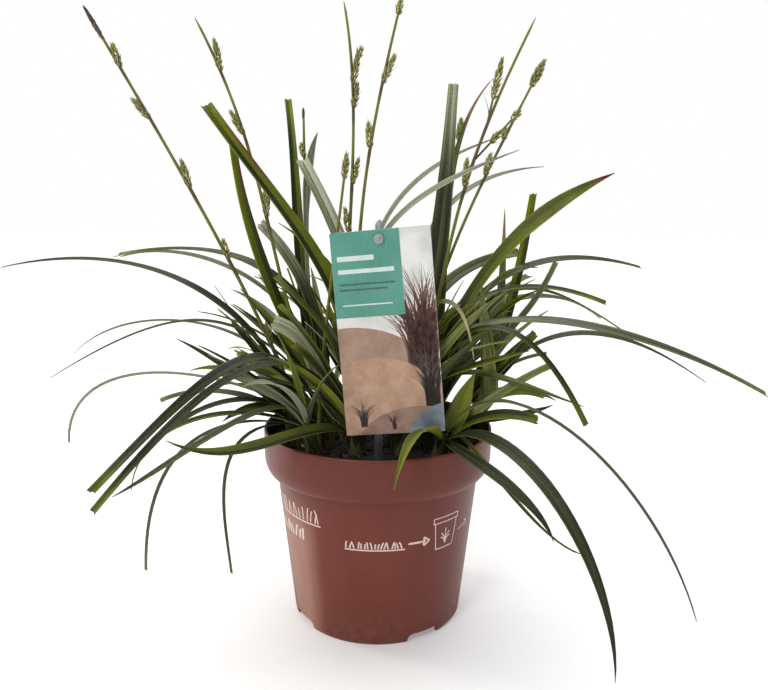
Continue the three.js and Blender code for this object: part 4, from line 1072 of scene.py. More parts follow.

# %% [markdown]
# ## The main leaves
#
# These give the clump its outline. Each line holds the shoot, the tip's place, lean, fall, crook,
# width, end, turn and bow, as in the imported model, and then a tone: the blade's colour, with some
# painted light in it. Young blades are bright and old ones slate; grey and sheen blades are painted
# pale as painted sheen. Some are scorched red along the edge or dry at the tip.

# %% The main leaves
LEAF_FIELDS = ("lean", "fall", "crook", "width", "end", "turn", "bow", "tone")
MAIN_LEAVES = (
    # right side, front to back
    ("outer_9", (103, -130, 36), 54, 178, 0.95, 6.5, "point", 50, -3, "slate"),
    ("outer_9", (80, -104, 88), 80, 160, 0.7, 6, "point", 45, -24, "slate"),
    ("outer_9", (101, -76, 68), 0, 93, 0.85, 2.5, "point", 30, -2, "olive"),
    ("outer_9", (52, -34, 150), 29, 32, 1.05, 11, "point", 110, 1, "yellow"),
    ("middle_8", (160, -78, 33), 39, 162, 1, 2, "blunt", 30, -7, "dusky"),
    ("inner_4", (200, -46, 141), 10, 119, 1.1, 8.5, "cut", 18, -18, "ash"),
    ("inner_4", (104, -60, 129), 26, 153, 1.6, 4.5, "cut", 35, -9, "deep"),
    ("inner_4", (49, -46, 159), 0, 170, 1.45, 3.5, "point", 60, 3, "cream_tip"),
    ("outer_10", (181, -18, 141), 24, 124, 1.3, 5.5, "blunt", 15, 1, "dark"),
    ("outer_10", (94, -30, 131), 70, 60, 1, 6, "point", 40, 0, "dark"),
    ("outer_10", (56, -16, 196), 49, 0, 1.05, 9, "point", 115, 0, "fresh"),
    ("outer_10", (58, -20, 174), 50, 0, 1.6, 11, "point", 115, 6, "fresh"),
    ("outer_10", (94, -22, 207), 0, 21, 1.4, 4.5, "cut", 60, 7, "grey"),
    ("middle_8", (122, -22, 253), 0, 66, 1, 9.5, "blunt", 60, 11, "scorched"),
    ("middle_8", (105, -50, 136), 0, 103, 1.4, 6, "point", 30, 0, "olive"),
    ("inner_4", (77, -46, 164), 18, 70, 0.9, 8, "point", 35, -9, "bright"),
    ("inner_1", (41, 16, 302), 24, 4, 0.95, 12, "narrow", 95, -2, "upright"),
    ("inner_1", (133, 16, 180), 20, 112, 1.25, 6.5, "cut", 25, 4, "olive"),
    ("middle_1", (164, 51, 198), 8, 105, 1.2, 7, "cut", 22, -1, "dark"),
    ("middle_1", (154, 34, 158), 19, 123, 1.6, 5, "cut", 20, -3, "olive"),
    ("middle_1", (87, -10, 203), 35, 95, 1, 8, "point", 30, 0, "olive"),
    ("outer_1", (93, 42, 243), 45, 10, 1, 6.5, "cut", 70, 0, "lit_shaded_halves"),
    ("outer_1", (75, 34, 234), 45, 0, 1, 6, "point", 60, -10, "dry"),
    ("outer_2", (152, 90, 160), 5, 125, 1, 7, "cut", 20, 0, "grey"),
    ("inner_1", (91, 66, 206), 10, 85, 1.2, 10, "cut", 35, 10, "deep"),
    # back
    ("middle_3", (78, 60, 279), 0, 73, 1.35, 3.5, "blunt", 35, -2, "sheen"),
    ("outer_3", (34, 131, 84), 25, 145, 1.1, 8, "cut", 10, 0, "dark"),
    ("outer_4", (-36, 130, 92), 20, 140, 1.2, 9, "point", -10, 0, "olive"),
    ("middle_2", (58, 114, 150), 15, 115, 1.1, 8, "cut", 15, 0, "deep"),
    ("middle_3", (-50, 116, 158), 15, 110, 1.1, 8, "point", -15, 0, "scorched"),
    # left side, back to front
    ("outer_6", (-36, 30, 277), 34, 29, 0.7, 12, "blunt", -80, 1, "sheen"),
    ("outer_5", (-55, 50, 298), 16, 8, 1, 7, "cut", -80, 0, "lit_shaded_halves"),
    ("inner_2", (-44, 20, 261), 0, 29, 1.4, 10, "cut", -60, -3, "striped"),
    ("outer_5", (-168, 70, 202), 0, 105, 0.95, 5.5, "cut", -15, 0, "grey"),
    ("middle_4", (-164, 50, 204), 0, 100, 1.35, 8, "cut", -18, 15, "deep"),
    ("middle_4", (-69, 20, 225), 5, 50, 1.1, 9, "cut", -50, 0, "pale_top"),
    ("middle_4", (-80, 4, 268), 25, 5, 1, 8.5, "narrow", -75, 0, "red_edge"),
    ("outer_6", (-192, 40, 143), 0, 133, 0.85, 4, "blunt", -10, 7, "grey"),
    ("outer_6", (-204, -14, 202), 16, 103, 1.1, 7, "point", -25, 2, "slate"),
    ("inner_3", (-90, -12, 287), 0, 35, 1.3, 8.4, "cut", -75, -4, "red_edge"),
    ("inner_3", (-56, 4, 226), 17, 60, 1.55, 7, "point", -50, -4, "bright"),
    ("inner_3", (-78, -14, 156), 5, 40, 1, 8, "point", -40, 0, "yellow"),
    ("middle_6", (-55, -18, 198), 5, 50, 1.4, 4, "cut", -40, 0, "deep"),
    ("middle_5", (-133, -88, 104), 19, 131, 1.5, 7, "cut", -30, 3, "ink"),
    ("middle_5", (-105, -34, 167), 65, 60, 1, 7, "point", -35, 0, "deep"),
    ("middle_4", (-180, -20, 142), 36, 121, 1.4, 4, "blunt", -8, 4, "brown_tip"),
    ("middle_5", (-147, -46, 80), 52, 141, 1.25, 5, "cut", -28, -4, "ink"),
    ("outer_7", (-92, -12, 144), 0, 77, 1.45, 6.5, "cut", -35, -2, "deep"),
    ("middle_5", (-155, -58, 118), 47, 178, 0.9, 2.6, "cut", -25, 7, "sheen"),
    ("outer_7", (-119, -22, 130), 36, 114, 0.9, 5, "cut", -25, -1, "grey"),
    ("outer_8", (-125, -84, 100), 15, 110, 0.9, 4, "blunt", -25, 0, "grey"),
    ("outer_7", (-116, -70, 55), 70, 178, 1.4, 2.2, "cut", -30, 10, "dusky"),
    ("outer_8", (-124, -62, 94), 60, 172, 1, 4, "point", -20, 0, "olive"),
    ("outer_7", (-67, -96, 68), 75, 97, 1.85, 1.8, "cut", -40, -28, "dusky"),
    ("middle_6", (-55, -31, 175), 55, 75, 1.2, 12, "cut", -55, 0, "pale"),
    # front
    ("outer_9", (8, -86, 105), 50, 150, 1.3, 8, "point", 25, 0, "bright"),
    ("middle_6", (-132, -90, 95), 23, 137, 1.4, 6, "cut", -30, -2, "ink"),
    ("middle_6", (-94, -96, 132), 64, 54, 1.15, 7, "point", -50, 5, "olive"),
    # later growth
    ("middle_2", (107, 80, 261), 0, 86, 1.25, 4, "blunt", 35, 5, "sheen"),
    ("middle_6", (74, -12, 265), 0, 70, 1.5, 4.5, "blunt", 35, -2, "sheen"),
    ("middle_1", (69, 58, 312), 14, 56, 1.15, 4.5, "point", 60, 0, "bract"),
)
print("main leaves:", len(MAIN_LEAVES))

# %% [markdown]
# ## The other leaves
#
# The rest follow a rule with seeded draws. Where a drawn leaf touched a neighbour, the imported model
# bowed it aside or drew it again. Rather than test for collisions a second time, each candidate is
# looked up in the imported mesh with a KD-tree: the one whose corners are there is the one that grew.

# %% The other leaves: the rule
FILL_RULE = {
    "inner": {"spread": 120, "length": (95, 150), "lean": (3, 18), "fall": (10, 60)},
    "middle": {"spread": 80, "length": (85, 150), "lean": (6, 28), "fall": (20, 90)},
    "outer": {"spread": 60, "length": (70, 140), "lean": (14, 44), "fall": (35, 135)},
}
LEFT_TONES = ("dark", "deep", "deep", "dark", "olive", "olive", "bright", "grey", "sheen", "bright")
RIGHT_TONES = (
    "deep", "dark", "olive", "bright", "fresh", "bright", "yellow", "fresh", "grey", "brown_tip",
)
INNER_TONES = ("yellow", "bright", "olive", "yellow", "deep", "bright", "sheen")
WORD = 0xFFFFFFFF


def draws_from(seed):
    """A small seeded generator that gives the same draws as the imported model's."""
    state = seed & WORD

    def draw():
        nonlocal state
        state = (state + 0x6D2B79F5) & WORD
        mix = ((state ^ (state >> 15)) * (state | 1)) & WORD
        mix ^= (mix + (((mix ^ (mix >> 7)) * (mix | 61)) & WORD)) & WORD
        return ((mix ^ (mix >> 14)) & WORD) / 2 ** 32

    return draw

# %% The other leaves: one drawn leaf
FRONT_SHARE = 0.3  # how far a drawn leaf may head for the front, where the pot is nearly bare
CUT_SHARE = 0.3  # of the drawn leaves
FILL_WIDTHS = (3.2, 8.0)
FILL_TURN = 70
BEND_STEP = 5


def fill_leaf(shoot, seed):
    draw = draws_from(seed)

    def between(ends):
        return ends[0] + (ends[1] - ends[0]) * draw()

    rule = FILL_RULE[shoot["ring"]]
    drawn = shoot["azimuth"] + math.radians(rule["spread"] * (2 * draw() - 1))
    front_share = FRONT_SHARE if math.sin(drawn) < 0 else 1
    heading = math.atan2(front_share * math.sin(drawn), math.cos(drawn))
    lean = between(rule["lean"])
    fall = between(rule["fall"])
    sideways = abs(math.cos(heading))
    frontward = max(0, -math.sin(heading))
    length = between(rule["length"]) * (1 - 0.3 * sideways ** 2 - 0.4 * frontward)
    bend = math.radians(fall - lean)
    chord = length * math.sin(bend / 2) / (bend / 2)
    middle = math.radians((lean + fall) / 2)
    root = leaf_root(shoot, heading)
    reach = Vector((math.cos(heading), math.sin(heading), 0))
    tip = root + reach * chord * math.sin(middle) + Vector((0, 0, chord * math.cos(middle)))
    width = between(FILL_WIDTHS)
    turn = FILL_TURN * (2 * draw() - 1)
    end = "cut" if draw() < CUT_SHARE else "point"
    side_tones = RIGHT_TONES if shoot["foot"].x > 0 else LEFT_TONES
    if shoot["ring"] == "inner":
        side_tones = INNER_TONES
    tone = side_tones[int(draw() * len(side_tones))]
    return {
        "root": root, "tip": tip, "lean": lean, "fall": fall, "crook": 1, "bow": 0,
        "width": width, "turn": turn, "end": end, "tone": tone,
    }


def bent_leaf(leaf, attempt):
    """The leaf as its nth attempt: the first is itself, and later ones bow further aside."""
    if attempt == 0:
        return leaf
    side = 1 if attempt % 2 == 1 else -1
    bow = leaf["bow"] + side * BEND_STEP * math.ceil(attempt / 2)
    lean = max(0, leaf["lean"] + BEND_STEP * ((attempt % 3) - 1))
    return {**leaf, "bow": bow, "lean": lean}

# %% The other leaves: which ones grew
FILL_DRAWS = 32
FILL_ATTEMPTS = 7
MAIN_ATTEMPTS = 30
MATCH_DISTANCE = 0.05
MATCH_SHARE = 0.6  # of a leaf's corners; its foot may be joined to another leaf's


def corner_tree(node_name):
    """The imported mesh's corners, in millimetres, for quick nearest-point questions."""
    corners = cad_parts[node_name].data.vertices
    tree = KDTree(len(corners))
    for index, corner in enumerate(corners):
        tree.insert(corner.co / MM, index)
    tree.balance()
    return tree


def grew(leaf, corners):
    """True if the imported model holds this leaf: its tip and most of its corners are there."""
    wanted = packed_corners(leaf)
    if corners.find(wanted[-1])[2] > MATCH_DISTANCE:
        return False
    found = sum(corners.find(corner)[2] < MATCH_DISTANCE for corner in wanted)
    return found >= MATCH_SHARE * len(wanted)


def grown_form(leaf, corners, attempts):
    """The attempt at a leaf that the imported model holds, or None."""
    for attempt in range(attempts):
        bent = bent_leaf(leaf, attempt)
        if grew(bent, corners):
            return bent
    return None


def find_leaves():
    """Every shoot's leaves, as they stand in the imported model."""
    by_name = {shoot["name"]: shoot for shoot in shoots}
    trees = {name: corner_tree(name) for name in by_name}
    leaves = {name: [] for name in by_name}
    for short_name, tip, *measures in MAIN_LEAVES:
        name = "shoot_" + short_name
        foot = by_name[name]["foot"]
        heading = math.atan2(tip[1] - foot.y, tip[0] - foot.x)
        leaf = {"root": leaf_root(by_name[name], heading), "tip": Vector(tip)}
        leaf.update(zip(LEAF_FIELDS, measures))
        grown = grown_form(leaf, trees[name], MAIN_ATTEMPTS)
        if grown:
            leaves[name].append(grown)
        else:
            print("not in the packed model:", short_name, tip)
    for number, (name, shoot) in enumerate(by_name.items()):
        for draw in range(FILL_DRAWS):
            if len(leaves[name]) >= shoot["leaves"]:
                break
            leaf = fill_leaf(shoot, FILL_DRAWS * number + draw)
            grown = grown_form(leaf, trees[name], FILL_ATTEMPTS)
            if grown:
                leaves[name].append(grown)
    return leaves


leaves_of = find_leaves()
print("leaves:", sum(len(leaves) for leaves in leaves_of.values()))

# %% [markdown]
# ## Blades
#
# Each blade starts as a flat grid, a strip eight faces wide. Every corner is then moved to its
# place on the arch, folded along the middle and rolled, so the strip follows the same curve as the
# packed leaf but with smooth bends and a real channel. Two painted attributes keep the blade's tone
# and marks, and its UVs tell the material which way the veins run.

# %% Blades: tones
# For each tone, its colour: yellowness, paleness, dryness of the tip and the share of the length
# that is dry. Then its marks: pale stripes, bright margins that are painted highlights where the
# edges catch the light, depth (blue-black) and foot, which yellows the blade's lower part where it
# is above 0 and darkens it with painted shade where it is below 0.
TONES = {
    "dark": ((0.04, 0.03, 0.0, 0.02), (0.4, 0.15, 0.6, -0.4)),
    "deep": ((0.14, 0.02, 0.0, 0.02), (0.25, 0.25, 0.3, -0.7)),
    "olive": ((0.38, 0.03, 0.2, 0.03), (0.3, 0.3, 0.05, -0.75)),
    "bright": ((0.75, 0.04, 0.2, 0.03), (0.3, 0.7, 0.0, 0.1)),
    "yellow": ((1.0, 0.1, 0.2, 0.03), (0.35, 0.5, 0.0, 0.2)),
    # painted sheen: a grey blade is painted pale where it mirrors the tent
    "grey": ((0.08, 0.33, 0.1, 0.03), (0.7, 0.4, 0.35, -0.6)),
    "ash": ((0.0, 0.24, 0.0, 0.02), (1.0, 0.3, 0.95, 0.0)),
    "ink": ((0.0, 0.0, 0.0, 0.02), (0.16, 0.25, 1.0, 0.0)),
    "dusky": ((0.0, 0.65, 0.0, 0.02), (0.3, 0.0, 1.0, 0.0)),
    "slate": ((0.02, 0.07, 0.0, 0.02), (0.25, 0.3, 0.95, -0.1)),
    # painted sheen: a sheen blade is painted paler still, as the tent mirrored in it
    "sheen": ((0.1, 0.95, 0.1, 0.03), (0.9, 0.1, 0.1, -0.3)),
    "striped": ((0.35, 1.0, 0.1, 0.03), (1.0, 0.3, 0.0, -0.5)),
    "pale": ((0.45, 1.2, 0.05, 0.02), (0.6, 0.3, 0.0, -0.8)),
    "pale_top": ((0.25, 1.2, 0.0, 0.02), (1.0, 0.6, 0.0, -1.0)),
    "upright": ((0.22, 1.15, 0.0, 0.02), (1.0, 0.6, 0.1, -1.0)),
    "lit_shaded_halves": ((0.42, 0.0, 0.0, 0.02), (0.3, 0.6, 0.05, -0.7)),
    "scorched": ((0.55, 0.0, 1.0, 0.07), (0.2, 0.8, 0.0, -0.8)),
    "red_edge": ((0.44, 0.0, 0.0, 0.03), (0.5, 0.8, 0.05, -0.75)),
    "brown_tip": ((0.25, 0.1, 1.0, 0.1), (0.4, 0.1, 0.25, -0.3)),
    "dry": ((0.6, 0.5, 1.0, 0.2), (0.4, 0.4, 0.0, 0.0)),
    "fresh": ((1.0, 0.4, 0.1, 0.02), (0.8, 0.6, 0.0, 0.4)),
    "cream_tip": ((0.5, 1.3, 1.0, 0.24), (0.4, 0.4, -0.7, -1.0)),
    "bract": ((0.6, 0.3, 1.0, 0.22), (0.3, 0.4, 0.0, 0.2)),
}
# painted light and shade on a folded blade: how much yellower its lit half is than its shaded half
LIT_HALF_SHIFTS = {"lit_shaded_halves": 0.6, "red_edge": 0.7, "scorched": 0.2, "olive": 0.6, "bright": 0.6, "yellow": 0.3}
COMMON_LIT_HALF_SHIFT = 0.2
# how red an edge is, and where along the blade its redness starts and ends
RED_EDGES = {"red_edge": (0.9, 0.74, 0.92), "scorched": (0.6, 0.73, 0.79), "dusky": (0.08, 0.05, 1.2)}
# where along the blade its foot's colour starts to end, and over what length
FOOT_RISES = {
    "scorched": (0.25, 0.45), "pale_top": (0.55, 0.4), "upright": (0.68, 0.36),
    "cream_tip": (0.64, 0.1), "pale": (0.34, 0.24),
}
COMMON_RISE = (0.12, 0.42)
# a nearly white band: where across the blade, its half width, and how much it adds
WHITE_BANDS = {"striped": (-0.3, 0.5, 2.4), "upright": (-0.35, 0.45, 1.0)}
print("tones:", len(TONES))

# %% Blades: the tone at a place
CUT_ENDS = {"cut", "narrow"}
HEART_RADIUS = 22
HEART_FADE = 36
HEART_TOP = 118
HEART_TOP_FADE = 66


def heart_shade_share(place):
    """1 in the clump's crowded heart, where blades are painted dark as painted shade, and 0 outside it."""
    inward = 1 - smooth((math.hypot(place.x, place.y) - HEART_RADIUS) / HEART_FADE)
    return inward * (1 - smooth((place.z - HEART_TOP) / HEART_TOP_FADE))


def tone_at(leaf, u, t, jitter, heart):
    """A blade's colour and marks at a place: u across from -1 to 1, t along.

    One half of a blade is painted lit and yellower and the other shaded and darker, as painted light
    and shade on its fold; the sign of the jitter says which. Painted shade darkens what stands in the
    clump's heart, and a cut end is fresh green.
    """
    kind = leaf["tone"]
    (yellow, pale, dry_tip, dry_length), (stripes, margins, deep, foot) = TONES[kind]
    rise_start, rise_length = FOOT_RISES.get(kind, COMMON_RISE)
    low = 1 - smooth((t - rise_start) / rise_length)
    # painted shade: a foot below 0 darkens the blade's lower part
    if foot < 0:
        deep -= foot * low
        pale *= 1 + 0.9 * foot * low
        stripes *= 1 + 0.4 * foot * low
    band_middle, band_reach, band_share = WHITE_BANDS.get(kind, (0, 1, 0))
    pale += band_share * (1 - low) * (1 - smooth(abs(u - band_middle) / band_reach))
    # painted light and shade: one half of the fold is painted lit and yellower, the other shaded and darker
    half = math.copysign(1, jitter) * (smooth(0.5 + 2 * u) - 0.5)
    yellow += max(0, foot) * low + jitter + LIT_HALF_SHIFTS.get(kind, COMMON_LIT_HALF_SHIFT) * half - 0.3 * heart
    # painted shade: the clump's crowded heart darkens the blades in it
    pale *= 1 - 0.5 * heart
    deep += 0.55 * heart - 0.3 * half
    if leaf["end"] in CUT_ENDS:
        fresh_end = smooth((t - 0.86) / 0.12)
        yellow += 0.5 * fresh_end
        deep *= 1 - fresh_end
    dry = dry_tip * smooth((t - 1 + dry_length) / (0.4 * dry_length))
    red_share, red_start, red_end = RED_EDGES.get(kind, (0, 0, 1))
    along = smooth((t - red_start) / 0.08) * (1 - smooth((t - red_end) / 0.06))
    across = 1 if kind == "dusky" else smooth((-u - 0.35) / 0.5)
    colour = (min(1, max(0, yellow)), pale, min(1, dry), red_share * across * along)
    return colour, (stripes, margins, min(1, max(0, deep + 0.5 * jitter)), 1)

# %% Blades: painted strips
PLAIN_MARKS = (0.2, 0.0, 0.0, 1)


def paint_layers(shape):
    """What every leafy shape carries: its UVs, its tone and its marks."""
    uv = shape.loops.layers.uv
    colours = shape.verts.layers.float_color
    for layers, name in ((uv, "blade_uv"), (colours, "blade_tone"), (colours, "blade_marks")):
        if name not in layers:
            layers.new(name)
    return uv["blade_uv"], colours["blade_tone"], colours["blade_marks"]


def paint_vert(vert, layers, uv, tone, marks=PLAIN_MARKS):
    uv_layer, tone_layer, marks_layer = layers
    vert[tone_layer] = tone
    vert[marks_layer] = marks
    for loop in vert.link_loops:
        loop[uv_layer].uv = uv


def painted_strip(shape, columns, rows, corner_of, folded=False):
    """A flat grid, bent and painted corner by corner; a folded one is sharp along its middle.

    corner_of gets a share across and a row, and gives the place in millimetres and the paint.
    """
    layers = paint_layers(shape)
    verts = flat_grid(shape, columns, rows)
    if folded:
        for edge in {edge for vert in verts for edge in vert.link_edges}:
            edge.smooth = any(abs(vert.co.x) > 1e-4 for vert in edge.verts)
    for vert in verts:
        place, *paint = corner_of(vert.co.x + 0.5, round((vert.co.y + 0.5) * rows))
        vert.co = place * MM
        paint_vert(vert, layers, *paint)
    return verts

# %% Blades: one blade
BLADE_COLUMNS = 8
BLADE_ROW_LENGTH = 12
BLADE_LEAST_ROWS = 16
EDGE_CROWDING = 1.25  # above 1, columns crowd to the middle, where the blade is folded
TIP_HALF_WIDTH = 0.08
FRAY = 0.35  # how far a cut end is ragged, as a share of the width


def add_blade(shape, leaf, seed):
    """One folded, arched strip, ragged where its end is cut."""
    draw = random.Random(seed)
    curve = leaf_arch(leaf)
    length = (leaf["tip"] - leaf["root"]).length
    rows = BLADE_LEAST_ROWS + int(length / BLADE_ROW_LENGTH)
    sections = [leaf_section(leaf, curve, row / rows) for row in range(rows + 1)]
    jitter = draw.uniform(-0.14, 0.14)
    ripple = draw.uniform(0, 6)
    notch = draw.uniform(-0.5, 0.5)
    uv_start = draw.uniform(0, 200)

    def corner(share, row):
        t = row / rows
        u = math.copysign(abs(1 - 2 * share) ** EDGE_CROWDING, 1 - 2 * share)
        middle, across, normal, width, lift = sections[row]
        half = max(TIP_HALF_WIDTH + 0.34 * min(1, (1 - t) / 0.04), width / 2)
        channel = lift * (1.25 * abs(u) - 0.25 * u * u)
        wave = 0.05 * width * math.sin(9 * t + ripple) * u
        place = middle + across * half * u + normal * (channel + wave)
        if row == rows and leaf["end"] in CUT_ENDS:
            fray = notch * u + draw.uniform(-0.35, 0.35)
            place += curve_tangent(curve, 1) * fray * width * FRAY
        paint = tone_at(leaf, u, t, jitter, heart_shade_share(middle))
        return place, (0.5 + u / 2, uv_start + t * length / 10), *paint

    painted_strip(shape, BLADE_COLUMNS, rows, corner, folded=True)

# %% [markdown]
# ## Blades: surface
#
# The upper side is dark and waxy, with fine ribs and a pale channel in the middle, and it turns
# grey where it mirrors the tent; grey and sheen blades also carry that grey as painted sheen. The
# underside is matter and lighter. Old tips dry to brown, and some edges redden. The material reads
# all of that from the two painted attributes, so one upper and one lower material serve every leaf.

# %% Blades: materials
def leaf_material(name, palette, roughness, vein_depth):
    material, tree, shader = new_material(name, palette["green"])
    place = node(tree, "TexCoord").outputs["Object"]
    uv = node(tree, "UVMap", uv_map="blade_uv").outputs[0]
    painted = node(tree, "Attribute", attribute_name="blade_tone").outputs
    tone = node(tree, "SeparateColor", {"Color": painted["Color"]}).outputs
    marked = node(tree, "Attribute", attribute_name="blade_marks").outputs
    marks = node(tree, "SeparateColor", {"Color": marked["Color"]}).outputs
    lines = node(tree, "Group", {"UV": uv}, node_tree=veins).outputs
    clouds = clouded(tree, place, 16.0, 1.2)
    stripe_share = maths(tree, "MULTIPLY_ADD", marks[0], 0.8, 0.03)
    dry = mixed(tree, clouds, palette["red"], palette["brown"])
    colour = layered(
        tree, mixed(tree, tone[0], palette["green"], palette["yellow"]),
        (marks[2], 1.0, palette["deep"]),
        (clouds, 0.4, palette["shade"]),
        (tone[1], 0.7, palette["pale"]),
        (maths(tree, "SUBTRACT", tone[1], 1.4), 1.0, palette["stripe"]),
        (lines["Streak"], stripe_share, mixed(tree, tone[1], palette["vein"], palette["stripe"])),
        (maths(tree, "MULTIPLY_ADD", lines["Vein"], -0.4, 0.4), 1.0, palette["shade"]),
        (lines["Midrib"], 0.5, palette["midrib"]),
        # painted highlight: bright margins where the blade's edges catch the light
        (lines["Margin"], marks[1], palette["margin"]),
        (grained(tree, place, 0.6, 0.05)["Mask"], 0.25, palette["brown"]),
        (painted["Alpha"], 0.85, palette["red"]),
        (tone[2], 1.0, mixed(tree, tone[1], dry, palette["straw"])),
    )
    dry_roughness = maths(tree, "MULTIPLY_ADD", tone[2], 0.25, roughness)
    plug(tree, shader, {
        "Base Color": colour, "Roughness": maths(tree, "MULTIPLY_ADD", clouds, 0.08, dry_roughness),
        "Specular IOR Level": 0.24, "Normal": relief(tree, lines["Height"], vein_depth),
    })
    return material


upper_palette = {
    "green": (0.013, 0.028, 0.003), "yellow": (0.27, 0.31, 0.005), "deep": (0.004, 0.012, 0.006),
    "shade": (0.004, 0.008, 0.001), "pale": (0.3, 0.32, 0.2), "vein": (0.12, 0.15, 0.02),
    "stripe": (0.68, 0.7, 0.52), "midrib": (0.2, 0.21, 0.05), "margin": (0.24, 0.28, 0.02),
    "brown": (0.22, 0.1, 0.04), "red": (0.15, 0.02, 0.006), "straw": (0.72, 0.57, 0.33),
}
under_palette = {
    "green": (0.028, 0.05, 0.005), "yellow": (0.29, 0.32, 0.008), "deep": (0.01, 0.022, 0.01),
    "shade": (0.011, 0.018, 0.003), "pale": (0.3, 0.32, 0.21), "vein": (0.12, 0.14, 0.03),
    "stripe": (0.5, 0.52, 0.4), "midrib": (0.05, 0.065, 0.012), "margin": (0.22, 0.26, 0.03),
    "brown": (0.24, 0.12, 0.05), "red": (0.16, 0.028, 0.01), "straw": (0.58, 0.45, 0.28),
}
leaf_upper = leaf_material("leaf_upper", upper_palette, 0.32, 0.09)
leaf_under = leaf_material("leaf_under", under_palette, 0.5, 0.06)
print("nodes in the blade's upper side:", len(leaf_upper.node_tree.nodes))

# %% [markdown]
# ## Sheaths
#
# At its foot every shoot is a tight roll of leaf bases: green above, straw and red-brown below,
# wrapped in the torn remains of older leaves, and all of it is painted dark as painted shade at the
# clump's crowded foot. The roll is a strip bent into a tapered tube with shallow ribs, and each torn
# scale is a short strip bent round it, open at the top.

# %% Sheaths
# painted shade: sheaths and scales are painted deep and dark at the clump's shaded foot
SHADED_SHEATH_MARKS = (0.3, 0.2, 0.85, 1)
SHEATH_RADIUS = 3.4
SHEATH_SINK = 6
ROLL_ROWS = 10
SCALE_COUNT = 4
SCALE_ROWS = 8


def add_sheath(shape, shoot, seed):
    draw = random.Random(seed)
    axis = shoot["axis"]
    side = axis.orthogonal().normalized()
    other = axis.cross(side)
    top = shoot["height"] + 3

    def on_roll(turn, height, radius):
        out = side * math.cos(turn) + other * math.sin(turn)
        return shoot["foot"] + axis * height + out * radius

    def roll(u, row):
        t = row / ROLL_ROWS
        height = -SHEATH_SINK + (top + SHEATH_SINK) * t
        taper = (SHEATH_TOP_RADIUS - SHEATH_RADIUS) * smooth(t) - 1.6 * smooth((t - 0.85) / 0.15)
        radius = (SHEATH_RADIUS + taper) * (1 + 0.07 * math.cos(3 * 2 * math.pi * u))
        brown = 0.2 * (1 - smooth((height - 1) / 8))
        return on_roll(-2 * math.pi * u, height, radius), (u, 2 * t), (0.3, 0.05, brown, 0), SHADED_SHEATH_MARKS

    def scale(u, row):
        t = row / SCALE_ROWS
        height = -4 + (reach + 4) * t * (1 - 0.25 * (2 * u - 1) ** 2)
        turn = start - (u - 0.5) * wrap * (1 - 0.85 * t ** 2)
        radius = SHEATH_RADIUS + 0.35 + flare * t ** 2
        tone = (0.3, 0.1 + 0.2 * t, 0.45 * brown_share * smooth(t / 0.4) * (1 - 0.5 * t), 0)
        return on_roll(turn, height, radius), (u, 2 * t), tone, SHADED_SHEATH_MARKS

    painted_strip(shape, 18, ROLL_ROWS, roll)
    for _ in range(SCALE_COUNT):
        start = draw.uniform(0, 2 * math.pi)
        wrap = draw.uniform(1.2, 2.4)
        reach = draw.uniform(8, shoot["height"] + 2)
        brown_share = draw.uniform(0.3, 1)
        flare = draw.uniform(0.2, 1.6)
        painted_strip(shape, 6, SCALE_ROWS, scale)

# %% Shoots: every shoot is one piece, with its leaves in two layers
BLADE_THICKNESS = 0.4
SHEATH_SEEDS = 500

blade_total = 0
for number, shoot in enumerate(shoots):
    shape = bmesh.new()
    for place, leaf in enumerate(leaves_of[shoot["name"]]):
        add_blade(shape, leaf, 100 * number + place)
    add_sheath(shape, shoot, SHEATH_SEEDS + number)
    mesh = mesh_from(shape, shoot["name"] + "_blades")
    mesh.polygons.foreach_set("use_smooth", [True] * len(mesh.polygons))
    piece = link(shoot["name"] + "_leaves", mesh, [leaf_upper, leaf_under])
    thickness = piece.modifiers.new("thickness", "SOLIDIFY")
    thickness.thickness = BLADE_THICKNESS * MM
    thickness.offset = -1
    thickness.material_offset = 1
    thickness.use_even_offset = False
    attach(piece, "root")
    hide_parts(shoot["name"])
    blade_total += len(mesh.polygons)
print("blade faces before thickness:", blade_total)

# %% [markdown]
# ## Flowering stems
#
# A sedge's stem is a solid rod with three edges. A strip is rolled up round the same kind of curve
# as a leaf's, and its section swells at the three edges. Purple-brown nodes mark where a spike
# branches off, and a thin green bract stands there.

